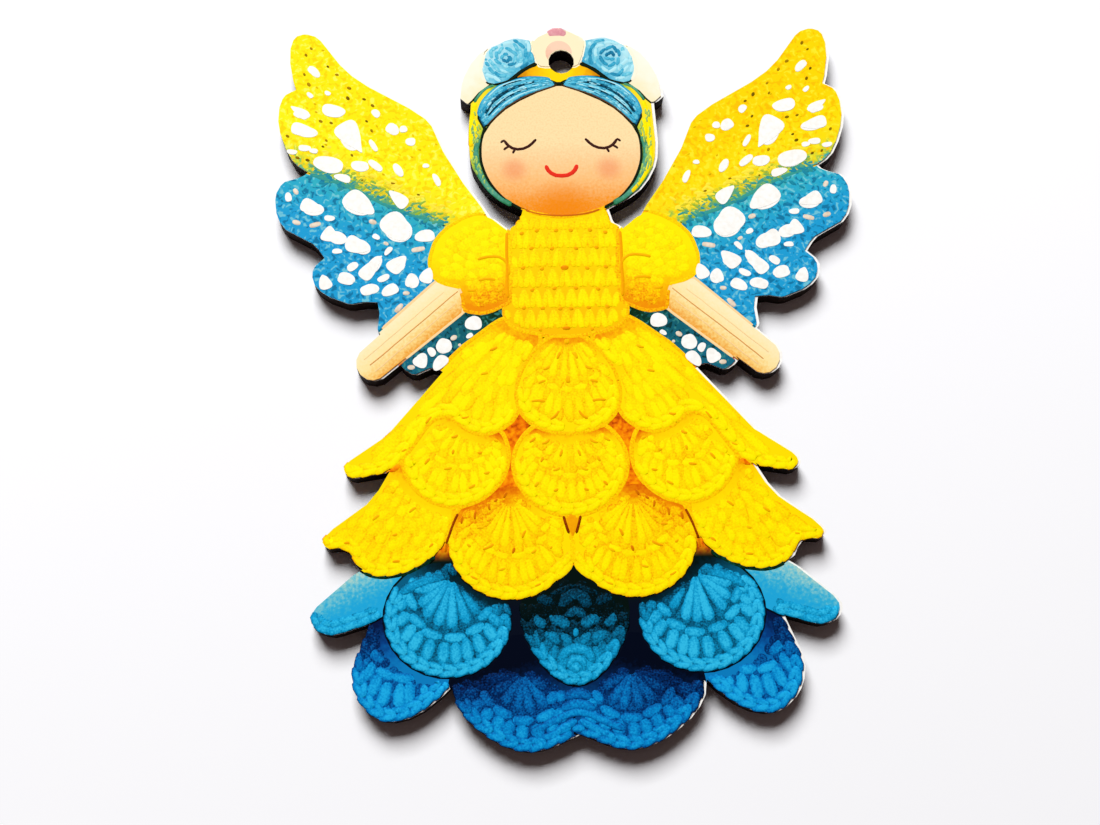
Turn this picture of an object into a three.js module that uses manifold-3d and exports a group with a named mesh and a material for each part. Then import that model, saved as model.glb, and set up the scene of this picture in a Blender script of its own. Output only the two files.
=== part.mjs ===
// Wooden angel ornament: a figure cut from thin plywood, coated white and printed in colour on its front.
// Millimetres. It lies on its back: X runs across the wings, Y towards the head and Z out of the print.
// Outlines are drawn for the right half, with y = 0 at mid-height, and mirrored for the left half.
import * as THREE from "three";
import { mergeVertices } from "three/addons/utils/BufferGeometryUtils.js";
import Module from "manifold-3d";

const wasm = await Module();
wasm.setup();

// Board and its layers
const PLY = 1.0;
const COAT = 0.1;
const INK = 0.1;
const FIELD_GAP = 0.3;
const PRINT_SHIFT = 0.45;

// Hanging hole, and the board left between it and the top of the centre flower
const HOLE_DIAMETER = 4.0;
const HOLE_WEB = 3.8;

// Arm, a round-ended roll that hangs from the sleeve and is slimmer at the hand
const ARM_WIDTH = 6.2;
const HAND_WIDTH = 5.4;
const ARM_LENGTH = 21.6;
const ARM_SLOPE = 41;
const ARM_SHOULDER = [16.8, 11.5];

// Smoothness: steps round a shell or the hole, round a lace cell and between two drawn points
const SHELL_STEPS = 28;
const CELL_STEPS = 8;
const CURVE_STEPS = 4;

// Points nearer than this to the last one, or to the line past them, are left out
const LEAST_STEP = 0.02;
const LEAST_BEND = 0.07;

// Colours
const BIRCH = 0xd9b98a;
const WHITE = 0xf7f5ee;
const KEY_INK = 0x3b2410;
const YELLOW = 0xffdc10;
const AMBER = 0xf7b21a;
const SKY = 0x2aa6dc;
const BLUE = 0x1488c8;
const NAVY = 0x0f5fa8;
const TEAL = 0x12617a;
const SKIN = 0xfad3a0;
const CREAM = 0xfff6dc;

// Finish
const WOOD_ROUGHNESS = 0.75;
const FILM_ROUGHNESS = 0.5;

// Drawing: runs of points, each a smooth curve, that meet at corners
function outline(...runs) {
  const path = new THREE.Path();
  path.moveTo(...runs[0][0]);
  for (const run of runs) {
    const points = run.map(([x, y]) => new THREE.Vector2(x, y));
    path.splineThru(points[0].equals(path.currentPoint) ? points.slice(1) : points);
  }
  return closed(path.getPoints(CURVE_STEPS));
}

// A closed outline turns anticlockwise, names no point twice and leaves out points that hardly bend it
function closed(points) {
  const apart = points.filter((p, i) => p.distanceTo(points.at(i - 1)) > LEAST_STEP);
  const kept = [apart[0]];
  let start = 0;
  for (let i = 1; i < apart.length; i++) {
    const end = apart[(i + 1) % apart.length];
    const skipped = apart.slice(start + 1, i + 1);
    if (skipped.some((p) => distanceToLine(p, apart[start], end) > LEAST_BEND)) {
      kept.push(apart[i]);
      start = i;
    }
  }
  return THREE.ShapeUtils.area(kept) > 0 ? kept : kept.reverse();
}

function distanceToLine(point, start, end) {
  const line = end.clone().sub(start);
  return Math.abs(line.cross(point.clone().sub(start))) / line.length();
}

// Half an outline from one end of the figure's middle line to the other, made whole
function symmetric(...half) {
  const back = half.slice(1, -1).reverse();
  return outline([...half, ...back.map(([x, y]) => [-x, y]), half[0]]);
}

function mirrored(points) {
  return closed(points.map((p) => new THREE.Vector2(-p.x, p.y)));
}

// A crochet shell: an egg with its top up, leaning by degrees so that its foot swings outwards
function shell({ at, width, length, lean = 0, taper = 0 }) {
  const middle = new THREE.Vector2(...at);
  const points = [];
  for (let i = 0; i < SHELL_STEPS; i++) {
    const turn = (2 * Math.PI * i) / SHELL_STEPS;
    const across = (width / 2) * Math.sin(turn) * (1 + taper * Math.cos(turn));
    const point = new THREE.Vector2(across, (length / 2) * Math.cos(turn)).add(middle);
    points.push(point.rotateAround(middle, THREE.MathUtils.degToRad(lean)));
  }
  return closed(points);
}

// An oval lace cell: its middle, length, width and slope in degrees
function cell([x, y, length, width, slope]) {
  const oval = new THREE.EllipseCurve(
    x, y, length / 2, width / 2, 0, 2 * Math.PI, false, THREE.MathUtils.degToRad(slope),
  );
  return closed(oval.getPoints(CELL_STEPS));
}

function arm() {
  const reach = ARM_LENGTH - ARM_WIDTH / 2 - HAND_WIDTH / 2;
  const roll = new THREE.Path();
  roll.absarc(0, 0, ARM_WIDTH / 2, Math.PI / 2, 1.5 * Math.PI);
  roll.absarc(reach, 0, HAND_WIDTH / 2, -Math.PI / 2, Math.PI / 2);
  const slope = THREE.MathUtils.degToRad(-ARM_SLOPE);
  const shoulder = new THREE.Vector2(...ARM_SHOULDER);
  const turned = roll.getPoints(SHELL_STEPS / 4);
  return closed(turned.map((p) => p.clone().rotateAround(new THREE.Vector2(), slope).add(shoulder)));
}

// The same outline moved outwards all round
function grown(points, by) {
  return points.map((point, i) => {
    const before = point.clone().sub(points.at(i - 1)).normalize();
    const after = points[(i + 1) % points.length].clone().sub(point).normalize();
    const normal = new THREE.Vector2(before.y + after.y, -before.x - after.x);
    return point.clone().addScaledVector(normal, by / Math.max(0.5, 1 + before.dot(after)));
  });
}

// Head, from the flowers down to the hair
const FLOWER_CENTRE = symmetric(
  [0, 55.2], [1.3, 54.8], [2.6, 54.1], [4, 53.2], [3.9, 51.2], [3.3, 49.6], [2.7, 48.7], [0, 48.6],
);
const FLOWER_BLUE = outline([
  [3, 52.8], [6.4, 53.5], [8.6, 53.1], [10.6, 51.8], [11.5, 50.2], [11.9, 48], [11.2, 46.2],
  [9.4, 45.8], [7.6, 46.6], [5.8, 48.2], [3.4, 49.6], [2.6, 51], [3, 52.8],
]);
const FLOWER_CREAM = outline(
  [[8, 53.2], [11.4, 51.8], [13.3, 50.2], [14.6, 48.1], [15.4, 46], [15.7, 43.4]],
  [[15.7, 43.4], [14.2, 42.4], [12.6, 44.2], [11, 45.5], [8, 48], [8, 53.2]],
);
const CROWN = symmetric([0, 50.5], [4, 49.4], [6.4, 46.8], [4, 45.6], [0, 45.6]);
const HEADBAND = outline(
  [[0.5, 45.8], [2, 46.4], [4, 46.7], [6.4, 46.5], [9.8, 44.9], [11.9, 42.5], [12.4, 40.2], [11.7, 38.6]],
  [[11.7, 38.6], [10.2, 40.1], [8, 42], [4.9, 43.8], [0.5, 45.8]],
);
const FACE = symmetric(
  [0, 45.4], [4.9, 43.6], [8, 41.8], [10, 39.8], [11.6, 37.5], [12.2, 35], [12, 32.4],
  [10.8, 29.4], [8.7, 26.8], [5.8, 25], [3, 24.1], [0, 23.7],
);
const HAIR = outline(
  [[14, 44], [14.2, 42], [14.3, 39.3], [14.5, 36], [14.1, 32.2], [12.5, 29.1], [10.3, 26.9], [6.5, 24.8]],
  [[6.5, 24.8], [7.4, 28], [9.5, 33], [9.5, 40], [9, 45], [12, 46], [14, 44]],
);

// Body and arms
const SLEEVE = outline(
  [[8.4, 21.5], [11, 23.6], [13.4, 24.1], [17, 22.3], [19, 20.2], [20, 17], [19.5, 14.5], [18, 13.4],
    [15.7, 12.8]],
  [[15.7, 12.8], [15.1, 11], [15, 9]],
  [[15, 9], [12.4, 8.6], [10.2, 9.3], [8.4, 10.2]],
  [[8.4, 10.2], [8, 15], [8.4, 21.5]],
);
const BODICE = symmetric(
  [0, 27], [6.2, 26.6], [6.5, 24.7], [7.2, 22.7], [8.6, 21.4], [9, 16], [9, 10.5],
  [9, 8], [7.6, 6.2], [4, 5.2], [0, 4.8],
);

// Skirt and hem: shells where a petal is round, drawn edges where it ends in a pointed tip
const ROW1_CENTRE = shell({ at: [0, -2.4], width: 14.6, length: 15.2, taper: -0.25 });
const ROW1_SIDE = outline(
  [[6.5, 8.5], [8.9, 7.8], [12, 5.8], [16, 2.6], [19.2, -1.1], [22.4, -4.8], [25, -7.7], [27, -10],
    [30, -12], [32.5, -13.8], [33, -15.1], [31.6, -16.1], [29.4, -15.7], [27, -15.4]],
  [[27, -15.4], [24.4, -13.6], [22, -10.2], [19.8, -7.6], [17.4, -7]],
  [[17.4, -7], [14.8, -9.2], [12.3, -9.9], [9.4, -8.8], [7.4, -6.4], [5, 0], [4, 6], [6.5, 8.5]],
);
const ROW2_CENTRE = shell({ at: [0, -14.9], width: 16.2, length: 14.6, taper: 0.05 });
const ROW2_SIDE = shell({ at: [16.7, -13.2], width: 15.2, length: 14.6, lean: 16, taper: 0.05 });
const ROW3_INNER = shell({ at: [8.8, -25.9], width: 17.8, length: 16.3, taper: 0.03 });
const ROW3_OUTER = outline(
  [[22, -11], [25, -13], [26.7, -15.6], [28.1, -18], [30, -20.2], [32.5, -22], [34.6, -23.5],
    [36, -25.2], [35, -26.3], [33.2, -26.2], [32, -27], [31.2, -28.6]],
  [[31.2, -28.6], [29.5, -29.8], [27.4, -30.4], [25, -30.2], [22.4, -29.3], [19.6, -27.4], [18, -25],
    [17, -21], [18, -16], [22, -11]],
);
const ROW4_CENTRE = shell({ at: [0, -37.8], width: 15, length: 16.8, taper: 0.25 });
const ROW4_SIDE = shell({ at: [17.9, -36.6], width: 17.8, length: 16.2, lean: 9 });
const ROW4_TIP = outline(
  [[24, -28], [28, -28.4], [31, -29.7], [33.9, -32.2], [36.6, -34.4], [37.5, -36], [36.6, -37.8],
    [34.2, -38.5], [31.8, -37.8], [29.4, -37.2]],
  [[29.4, -37.2], [27, -36], [24, -33], [24, -28]],
);
const ROW5_INNER = outline(
  [[-0.4, -41], [8, -39], [16, -42], [17.7, -46]],
  [[17.7, -46], [17.3, -48.2], [15.7, -50.6], [13.4, -52.6], [10.6, -54.3], [7.6, -55.1], [4.8, -54.8],
    [2.2, -53.8], [-0.4, -52.7]],
  [[-0.4, -52.7], [-0.4, -41]],
);
const ROW5_OUTER = outline(
  [[29.2, -37.3], [30.2, -39.9], [31.4, -42.6], [31.6, -45], [30.6, -47.8], [28.4, -50], [26, -50.6],
    [23, -49.9], [20, -48], [17.8, -46]],
  [[17.8, -46], [16, -42], [22, -37], [26, -34], [29.2, -37.3]],
);

// Wings: a long upper lobe, a lower lobe and a fringe under the arm, each with lace cells left bare
const WING_UPPER = outline(
  [[10.6, 22.4], [11.9, 24.8], [14.6, 28.7], [17.8, 34.2], [19.7, 38.8], [21.9, 41], [25.1, 43], [29.2, 45.4],
    [32.6, 48], [34.9, 50.8], [37, 53.7], [38.8, 54.6], [40.9, 54.3], [41.8, 52.6], [41.9, 50], [41.5, 47.3],
    [40.9, 45.2]],
  [[40.9, 45.2], [42.6, 44.2], [43.4, 42.2], [43.5, 39.6], [43, 37.3], [42.1, 35], [40.9, 33], [39.2, 31.7]],
  [[39.2, 31.7], [33, 29.5], [28, 26.8], [23, 24.5], [18.5, 23], [14, 20], [10.6, 22.4]],
);
const WING_LOWER = outline(
  [[38, 32.6], [39.2, 31.1], [40.4, 30.5], [42.4, 29.9], [43.5, 28.3], [43.7, 26.5], [43.3, 24.2],
    [42.1, 22.3], [39.9, 21.1], [37.7, 19.7], [36.2, 17.6]],
  [[36.2, 17.6], [37.6, 16.3], [38, 14.9], [37.5, 13.2], [35.8, 11.7], [34, 10.9], [32.2, 10.3], [30.2, 10.6],
    [28.3, 10.5]],
  [[28.3, 10.5], [28, 8.6], [28.2, 6], [26, 3.6]],
  [[26, 3.6], [17, 9.6], [13, 14], [14, 20], [18, 24.5], [23, 26.4], [28, 28.8], [33, 31.4], [38, 32.6]],
);
const WING_FRINGE = outline(
  [[18, -2], [18.6, -0.5], [20, 0.2], [21.3, -0.3], [22.6, -0.8], [23.8, -0.4], [24.8, 0.6]],
  [[24.8, 0.6], [22, 5], [16, 10], [8, 11]],
  [[8, 11], [8, 7], [13, 2.5], [18, -2]],
);
const LACE_CELLS = [
  [37.7, 48.2, 2.4, 1.2, 50], [34.6, 41.5, 3.2, 2, 15], [39.5, 41, 2.6, 1.3, 10], [38.8, 38.1, 3.6, 1.7, 10],
  [32.2, 37.2, 4.8, 2.9, 70], [25.6, 38.3, 2.1, 1.6, 40], [35.4, 32.4, 4, 2.1, 20],
  [30.5, 32.3, 2.6, 1.6, 15], [24.8, 31.6, 2.4, 1.2, 60],
  [31, 25.9, 4.6, 2.8, 25], [37.5, 25.4, 3.2, 2, 5], [24.8, 21.9, 4.4, 3.8, 30], [33.9, 20.8, 3, 2, 20],
  [30.4, 19.3, 3.2, 2.2, 30], [25, 16.3, 2.5, 2.2, 0], [28.4, 16.3, 3.4, 1.8, -55],
  [32.4, 14.4, 2.6, 1.6, 25], [28.8, 12.6, 2.4, 1.6, 0], [22.6, 13.6, 1.8, 2, 0], [35.6, 13.9, 1.9, 1.3, 70],
  [13.6, 7, 2.2, 2.2, 0], [18.1, 3.5, 2.4, 2.2, -40], [21.7, 1.2, 2, 1.6, 0],
];

// Every printed field from the foremost back, with its colour
const FIELDS = [
  { name: "flower_centre", points: FLOWER_CENTRE, colour: CREAM },
  ...pair("flower_blue", FLOWER_BLUE, SKY),
  ...pair("flower_cream", FLOWER_CREAM, CREAM),
  ...pair("headband", HEADBAND, SKY),
  { name: "cap_crown", points: CROWN, colour: YELLOW },
  { name: "face", points: FACE, colour: SKIN },
  ...pair("hair", HAIR, YELLOW),
  ...pair("sleeve", SLEEVE, YELLOW),
  { name: "bodice", points: BODICE, colour: YELLOW },
  ...pair("arm", arm(), SKIN),
  { name: "row1_centre", points: ROW1_CENTRE, colour: YELLOW },
  ...pair("row1_side", ROW1_SIDE, YELLOW),
  { name: "row2_centre", points: ROW2_CENTRE, colour: YELLOW },
  ...pair("row2_side", ROW2_SIDE, YELLOW),
  ...pair("row3_inner", ROW3_INNER, AMBER),
  ...pair("row3_outer", ROW3_OUTER, AMBER),
  { name: "row4_centre", points: ROW4_CENTRE, colour: BLUE },
  ...pair("row4_side", ROW4_SIDE, BLUE),
  ...pair("row4_tip", ROW4_TIP, BLUE),
  ...pair("row5_inner", ROW5_INNER, NAVY),
  ...pair("row5_outer", ROW5_OUTER, NAVY),
  ...pair("wing_fringe", WING_FRINGE, TEAL),
  ...pair("wing_upper", WING_UPPER, YELLOW),
  ...pair("wing_lower", WING_LOWER, BLUE),
];

function pair(name, points, colour) {
  return [
    { name: `${name}_right`, points, colour },
    { name: `${name}_left`, points: mirrored(points), colour },
  ];
}

// Solids: a slab stands on z = 0, and a cutter runs past both faces of every layer
function slab(points, height, base = 0) {
  const settings = { depth: height, bevelEnabled: false };
  const geometry = new THREE.ExtrudeGeometry(new THREE.Shape(points), settings);
  geometry.translate(0, 0, base);
  geometry.deleteAttribute("normal");
  geometry.deleteAttribute("uv");
  const merged = mergeVertices(geometry, 1e-4);
  const vertProperties = new Float32Array(merged.attributes.position.array);
  const triVerts = new Uint32Array(merged.index.array);
  return new wasm.Manifold(new wasm.Mesh({ numProp: 3, vertProperties, triVerts }));
}

function cutter(points) {
  return slab(points, 3 * PLY, -PLY);
}

function joined(solids) {
  return solids.reduce((whole, solid) => whole.add(solid));
}

function moved(points, x) {
  return points.map((p) => new THREE.Vector2(p.x + x, p.y));
}

function hole(x) {
  const radius = HOLE_DIAMETER / 2;
  const top = Math.max(...FLOWER_CENTRE.map((p) => p.y));
  const round = new THREE.EllipseCurve(x, top - HOLE_WEB - radius, radius, radius);
  return cutter(closed(round.getPoints(SHELL_STEPS)));
}

// The board's edge goes round all the fields together: it is the longest run of walls round their joined feet
function rim(solid) {
  const { numProp, vertProperties, triVerts } = solid.getMesh();
  const corner = (v) => new THREE.Vector2(vertProperties[v * numProp], vertProperties[v * numProp + 1]);
  const edges = new Map();
  for (let t = 0; t < triVerts.length; t += 3) {
    const face = triVerts.subarray(t, t + 3);
    if (face.every((v) => vertProperties[v * numProp + 2] === 0)) {
      face.forEach((v, i) => edges.set(`${face[(i + 1) % 3]} ${v}`, [face[(i + 1) % 3], v]));
    }
  }
  const walls = [...edges.values()].filter(([a, b]) => !edges.has(`${b} ${a}`));
  const next = new Map(walls);
  const loops = [];
  while (next.size) {
    const loop = [];
    for (let v = next.keys().next().value; next.has(v); ) {
      loop.push(corner(v));
      const following = next.get(v);
      next.delete(v);
      v = following;
    }
    loops.push(loop);
  }
  const size = (loop) => Math.abs(THREE.ShapeUtils.area(loop));
  return closed(loops.reduce((a, b) => (size(a) > size(b) ? a : b)));
}

const EDGE = rim(joined(FIELDS.map((field) => slab(field.points, PLY))));

// The board's layers share its edge and differ only in height
function layer(height, x = 0) {
  return slab(moved(EDGE, x), height).subtract(hole(x));
}

function mesh(name, solid, colour, roughness) {
  const { numProp, numVert, vertProperties, triVerts } = solid.getMesh();
  const geometry = new THREE.BufferGeometry();
  const position = new Float32Array(3 * numVert);
  for (let i = 0; i < numVert; i++) {
    position.set(vertProperties.subarray(i * numProp, i * numProp + 3), 3 * i);
  }
  geometry.setAttribute("position", new THREE.BufferAttribute(position, 3));
  geometry.setIndex(new THREE.BufferAttribute(triVerts, 1));
  geometry.computeVertexNormals();
  const material = new THREE.MeshStandardMaterial({ color: colour, roughness, metalness: 0 });
  const made = new THREE.Mesh(geometry, material);
  made.name = name;
  return made;
}

// Three veneers and the white coat, one on the other
const PLIES = ["back_ply", "core_ply", "front_ply"];
const BOARD = PLIES.length * PLY;
const figure = new THREE.Group();
PLIES.forEach((name, i) => {
  const ply = mesh(name, layer(PLY), BIRCH, WOOD_ROUGHNESS);
  ply.position.z = i * PLY;
  figure.add(ply);
});
const coat = mesh("white_coat", layer(COAT), WHITE, FILM_ROUGHNESS);
coat.position.z = BOARD;
figure.add(coat);

// The print sits a little left of the cut: a key layer, then the colour fields, trimmed at the board's edge
const print = new THREE.Group();
print.position.set(-PRINT_SHIFT, 0, BOARD + COAT);
figure.add(print);
const board = layer(PLY, PRINT_SHIFT);
const cells = LACE_CELLS.map(cell);
const lace = joined([...cells, ...cells.map(mirrored)].map(cutter));
const key = slab(EDGE, INK).intersect(board).subtract(lace);
print.add(mesh("key_ink", key, KEY_INK, FILM_ROUGHNESS));

const colours = new THREE.Group();
colours.position.z = INK;
print.add(colours);
const inFront = [];
for (const { name, points, colour } of FIELDS) {
  let solid = slab(points, INK).intersect(board);
  if (inFront.length) {
    solid = solid.subtract(joined(inFront));
  }
  if (name.startsWith("wing")) {
    solid = solid.subtract(lace);
  }
  colours.add(mesh(name, solid, colour, FILM_ROUGHNESS));
  inFront.push(cutter(grown(points, FIELD_GAP)));
}

// The origin is the middle of the back face
const box = new THREE.Box3().setFromObject(figure);
figure.position.y = -(box.min.y + box.max.y) / 2;
const angel = new THREE.Group();
angel.add(figure);

export default angel;
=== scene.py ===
"""A flat wooden angel ornament: thin laser-cut plywood, coated white and printed in colour on its front."""
import math
import random

import bpy
import numpy as np
from mathutils import Matrix, Vector


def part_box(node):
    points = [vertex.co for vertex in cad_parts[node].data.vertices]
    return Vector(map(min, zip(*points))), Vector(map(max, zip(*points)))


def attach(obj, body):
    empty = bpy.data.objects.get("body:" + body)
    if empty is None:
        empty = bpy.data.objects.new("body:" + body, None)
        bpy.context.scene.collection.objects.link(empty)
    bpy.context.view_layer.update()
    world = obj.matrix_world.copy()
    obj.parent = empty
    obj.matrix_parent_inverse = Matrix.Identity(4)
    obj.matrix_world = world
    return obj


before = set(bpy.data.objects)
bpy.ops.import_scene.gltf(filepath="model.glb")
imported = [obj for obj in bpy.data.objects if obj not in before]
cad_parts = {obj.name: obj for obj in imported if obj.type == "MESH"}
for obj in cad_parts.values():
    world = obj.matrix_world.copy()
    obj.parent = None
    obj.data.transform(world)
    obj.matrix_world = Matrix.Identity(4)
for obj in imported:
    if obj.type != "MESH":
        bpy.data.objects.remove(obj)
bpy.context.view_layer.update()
bpy.context.scene.view_settings.view_transform = "Standard"


# Camera: a 50 mm lens above the hem, looking down at the ornament as it lies on its back.
# It leans back by about 15 degrees, so the cut walls show under every edge that faces the hem.
MM = 0.001
camera_at = Vector((-9.91, -64.45, 218.08)) * MM
camera_aim = Vector((-3.21, -6.92, 3.2)) * MM
camera_roll = math.radians(-1.56)
camera_back = (camera_at - camera_aim).normalized()
camera_right = Vector((0, 1, 0)).cross(camera_back).normalized()
camera_turn = Matrix((camera_right, camera_back.cross(camera_right), camera_back)).transposed()
camera = bpy.data.objects.new("camera", bpy.data.cameras.new("camera"))
camera.data.lens = 50
camera.data.sensor_width = 36
camera.data.clip_start = 10 * MM
camera.matrix_world = (
    Matrix.Translation(camera_at) @ camera_turn.to_4x4() @ Matrix.Rotation(camera_roll, 4, "Z")
)
bpy.context.scene.collection.objects.link(camera)
bpy.context.scene.camera = camera


# Board: three glued birch veneers, the middle one with its grain across, cut out by a laser.
# The flat faces are sanded, pale and finely lined; the beam leaves every cut wall charred black-brown.
def paint(colour):
    """The linear colour of an sRGB hex value."""
    parts = [int(colour[i:i + 2], 16) / 255 for i in (1, 3, 5)]
    linear = [p / 12.92 if p <= 0.04045 else ((p + 0.055) / 1.055) ** 2.4 for p in parts]
    return (*linear, 1.0)


def add(tree, kind, inputs=None, stops=(), **settings):
    """Adds a shader node with its settings, its input values or links, and a ramp's colour stops."""
    made = tree.nodes.new("ShaderNode" + kind)
    for name, value in settings.items():
        setattr(made, name, value)
    for key, value in (inputs or {}).items():
        if isinstance(value, bpy.types.NodeSocket):
            tree.links.new(value, made.inputs[key])
        else:
            made.inputs[key].default_value = value
    for i, (place, colour) in enumerate(stops):
        elements = made.color_ramp.elements
        stop = elements[i] if i < len(elements) else elements.new(place)
        stop.position = place
        stop.color = paint(colour)
    return made


def surface(name, roughness, gloss=0.2):
    """A new material with its node tree and its shader."""
    made = bpy.data.materials.new(name)
    made.use_nodes = True
    shader = made.node_tree.nodes["Principled BSDF"]
    shader.inputs["Roughness"].default_value = roughness
    shader.inputs["Specular IOR Level"].default_value = gloss
    return made, made.node_tree, shader


def dress(node, material):
    """Gives a CAD node its material."""
    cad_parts[node].data.materials.clear()
    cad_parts[node].data.materials.append(material)


def birch_veneer(name, line_length, line_width):
    """Sanded birch whose lines are drawn out along the grain, with charred walls where the beam went."""
    made, tree, shader = surface(name, 0.75, 0.1)
    place = add(tree, "TexCoord").outputs["Object"]
    drawn = add(tree, "Mapping", {"Vector": place, "Scale": (1 / line_width, 1 / line_length, 1 / MM)})
    lines = add(tree, "TexNoise", {"Vector": drawn.outputs[0], "Scale": 1.0, "Detail": 4.0}).outputs[0]
    grain = add(tree, "ValToRGB", {"Fac": lines}, [(0.3, "#C49A66"), (0.5, "#DDBD8E"), (0.68, "#EBD3AC")])
    soot = add(tree, "TexNoise", {"Vector": place, "Scale": 1 / (0.5 * MM), "Detail": 3.0}).outputs[0]
    char = add(tree, "ValToRGB", {"Fac": soot}, [(0.3, "#0B0503"), (0.55, "#1C0F0A"), (0.75, "#38211A")])
    normal = add(tree, "NewGeometry").outputs["True Normal"]
    upward = add(tree, "SeparateXYZ", {0: normal}).outputs["Z"]
    flat = add(tree, "Math", {0: upward}, operation="ABSOLUTE").outputs[0]
    face = add(tree, "Math", {0: flat, 1: 0.5}, operation="GREATER_THAN").outputs[0]
    mixed = add(tree, "Mix", {0: face, 6: char.outputs[0], 7: grain.outputs[0]}, data_type="RGBA")
    tree.links.new(mixed.outputs[2], shader.inputs["Base Color"])
    relief = add(tree, "Bump", {"Height": lines, "Strength": 0.25, "Distance": 0.05 * MM})
    tree.links.new(relief.outputs[0], shader.inputs["Normal"])
    return made


GRAIN_LENGTH = 14 * MM
GRAIN_WIDTH = 0.45 * MM
long_grain = birch_veneer("birch_long_grain", GRAIN_LENGTH, GRAIN_WIDTH)
cross_grain = birch_veneer("birch_cross_grain", GRAIN_WIDTH, GRAIN_LENGTH)
dress("back_ply", long_grain)
dress("core_ply", cross_grain)
dress("front_ply", long_grain)


# Base coat: white acrylic primer rolled over the front veneer, matt and very slightly stippled.
# It shows through the lace cells and as a thin line where the print stops short of the cut.
# The roller's stipple is drawn coarser than life, so that it shows.
STIPPLE = 0.6 * MM
primer, tree, shader = surface("white_primer", 0.6)
place = add(tree, "TexCoord").outputs["Object"]
stipple = add(tree, "TexNoise", {"Vector": place, "Scale": 1 / STIPPLE, "Detail": 3.0}).outputs[0]
white = add(tree, "ValToRGB", {"Fac": stipple}, [(0.3, "#F3F1EA"), (0.7, "#FFFFFC")])
tree.links.new(white.outputs[0], shader.inputs["Base Color"])
relief = add(tree, "Bump", {"Height": stipple, "Strength": 0.1, "Distance": 0.03 * MM})
tree.links.new(relief.outputs[0], shader.inputs["Normal"])
dress("white_coat", primer)


# Key print: the dark ink film under the colours, seen in the thin lines and gaps between them.
# It is green-black round the face, cream by the flowers, orange in the skirt, navy in the hem and
# teal or gold in the wings. The drawing's middle line lies a little beside the board's own.
PRINT_SHIFT = 0.45


def folded(tree):
    """Places on the print with its left half turned over onto its right half."""
    apart = add(tree, "SeparateXYZ", {0: add(tree, "TexCoord").outputs["Object"]}).outputs
    middle = add(tree, "Math", {0: apart["X"], 1: PRINT_SHIFT * MM}, operation="ADD").outputs[0]
    aside = add(tree, "Math", {0: middle}, operation="ABSOLUTE").outputs[0]
    return add(tree, "CombineXYZ", {"X": aside, "Y": apart["Y"]}).outputs[0]


def between(tree, low, high, coordinate):
    """Rises from 0 to 1 between two places in millimetres."""
    inputs = {"Value": coordinate, "From Min": low * MM, "From Max": high * MM}
    return add(tree, "MapRange", inputs, interpolation_type="SMOOTHSTEP").outputs[0]


# Printed dots are really under 0.1 mm; here and in every film they are drawn coarser, so that they show
KEY_DOT = 0.9 * MM
KEY_ORANGE = [(0.32, "#C04800"), (0.43, "#EE7400"), (0.56, "#FA9200"), (0.7, "#FFB400")]
key_film, tree, shader = surface("key_print", 0.6, 0.03)
place = add(tree, "TexCoord").outputs["Object"]
apart = add(tree, "SeparateXYZ", {0: folded(tree)}).outputs
dots = add(tree, "TexNoise", {"Vector": place, "Scale": 1 / KEY_DOT, "Detail": 3.0}).outputs[0]
in_wing = add(
    tree, "Math", {0: between(tree, 16.5, 18, apart["X"]), 1: between(tree, 0, 4, apart["Y"])},
    operation="MULTIPLY",
).outputs[0]
key_colour = add(tree, "ValToRGB", {"Fac": dots}, KEY_ORANGE).outputs[0]
wing_key = add(
    tree, "Mix", {0: between(tree, 24, 30, apart["Y"]), 6: paint("#1E7F98"), 7: paint("#F0C010")},
    data_type="RGBA",
).outputs[2]
# Each colour takes over where its share rises, on top of those before it
for share, colour in (
    (between(tree, 3, 5, apart["Y"]), paint("#FFC000")),
    (between(tree, -26.4, -28.6, apart["Y"]), paint("#03150A")),
    (between(tree, -31, -36, apart["Y"]), paint("#02081A")),
    (between(tree, 24.7, 25.5, apart["Y"]), paint("#1C2A12")),
    (between(tree, 47.4, 48.2, apart["Y"]), paint("#FFF3D6")),
    (in_wing, wing_key),
):
    key_colour = add(tree, "Mix", {0: share, 6: key_colour, 7: colour}, data_type="RGBA").outputs[2]
tree.links.new(key_colour, shader.inputs["Base Color"])
dress("key_ink", key_film)


# Skirt petals: five rows of printed crochet shells, yellow above and blue at the hem.
# Each is a film of ink that darkens under the row above. Its yarn is printed over it in low strokes:
# wedges that fan out from a hub, loops across them, more posts, and a braid along the rim.

# The ink is cured acrylic: a thin satin film, whose colours stay deep and hardly shine
INK_ROUGHNESS = 0.5
INK_GLOSS = 0.02


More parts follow.
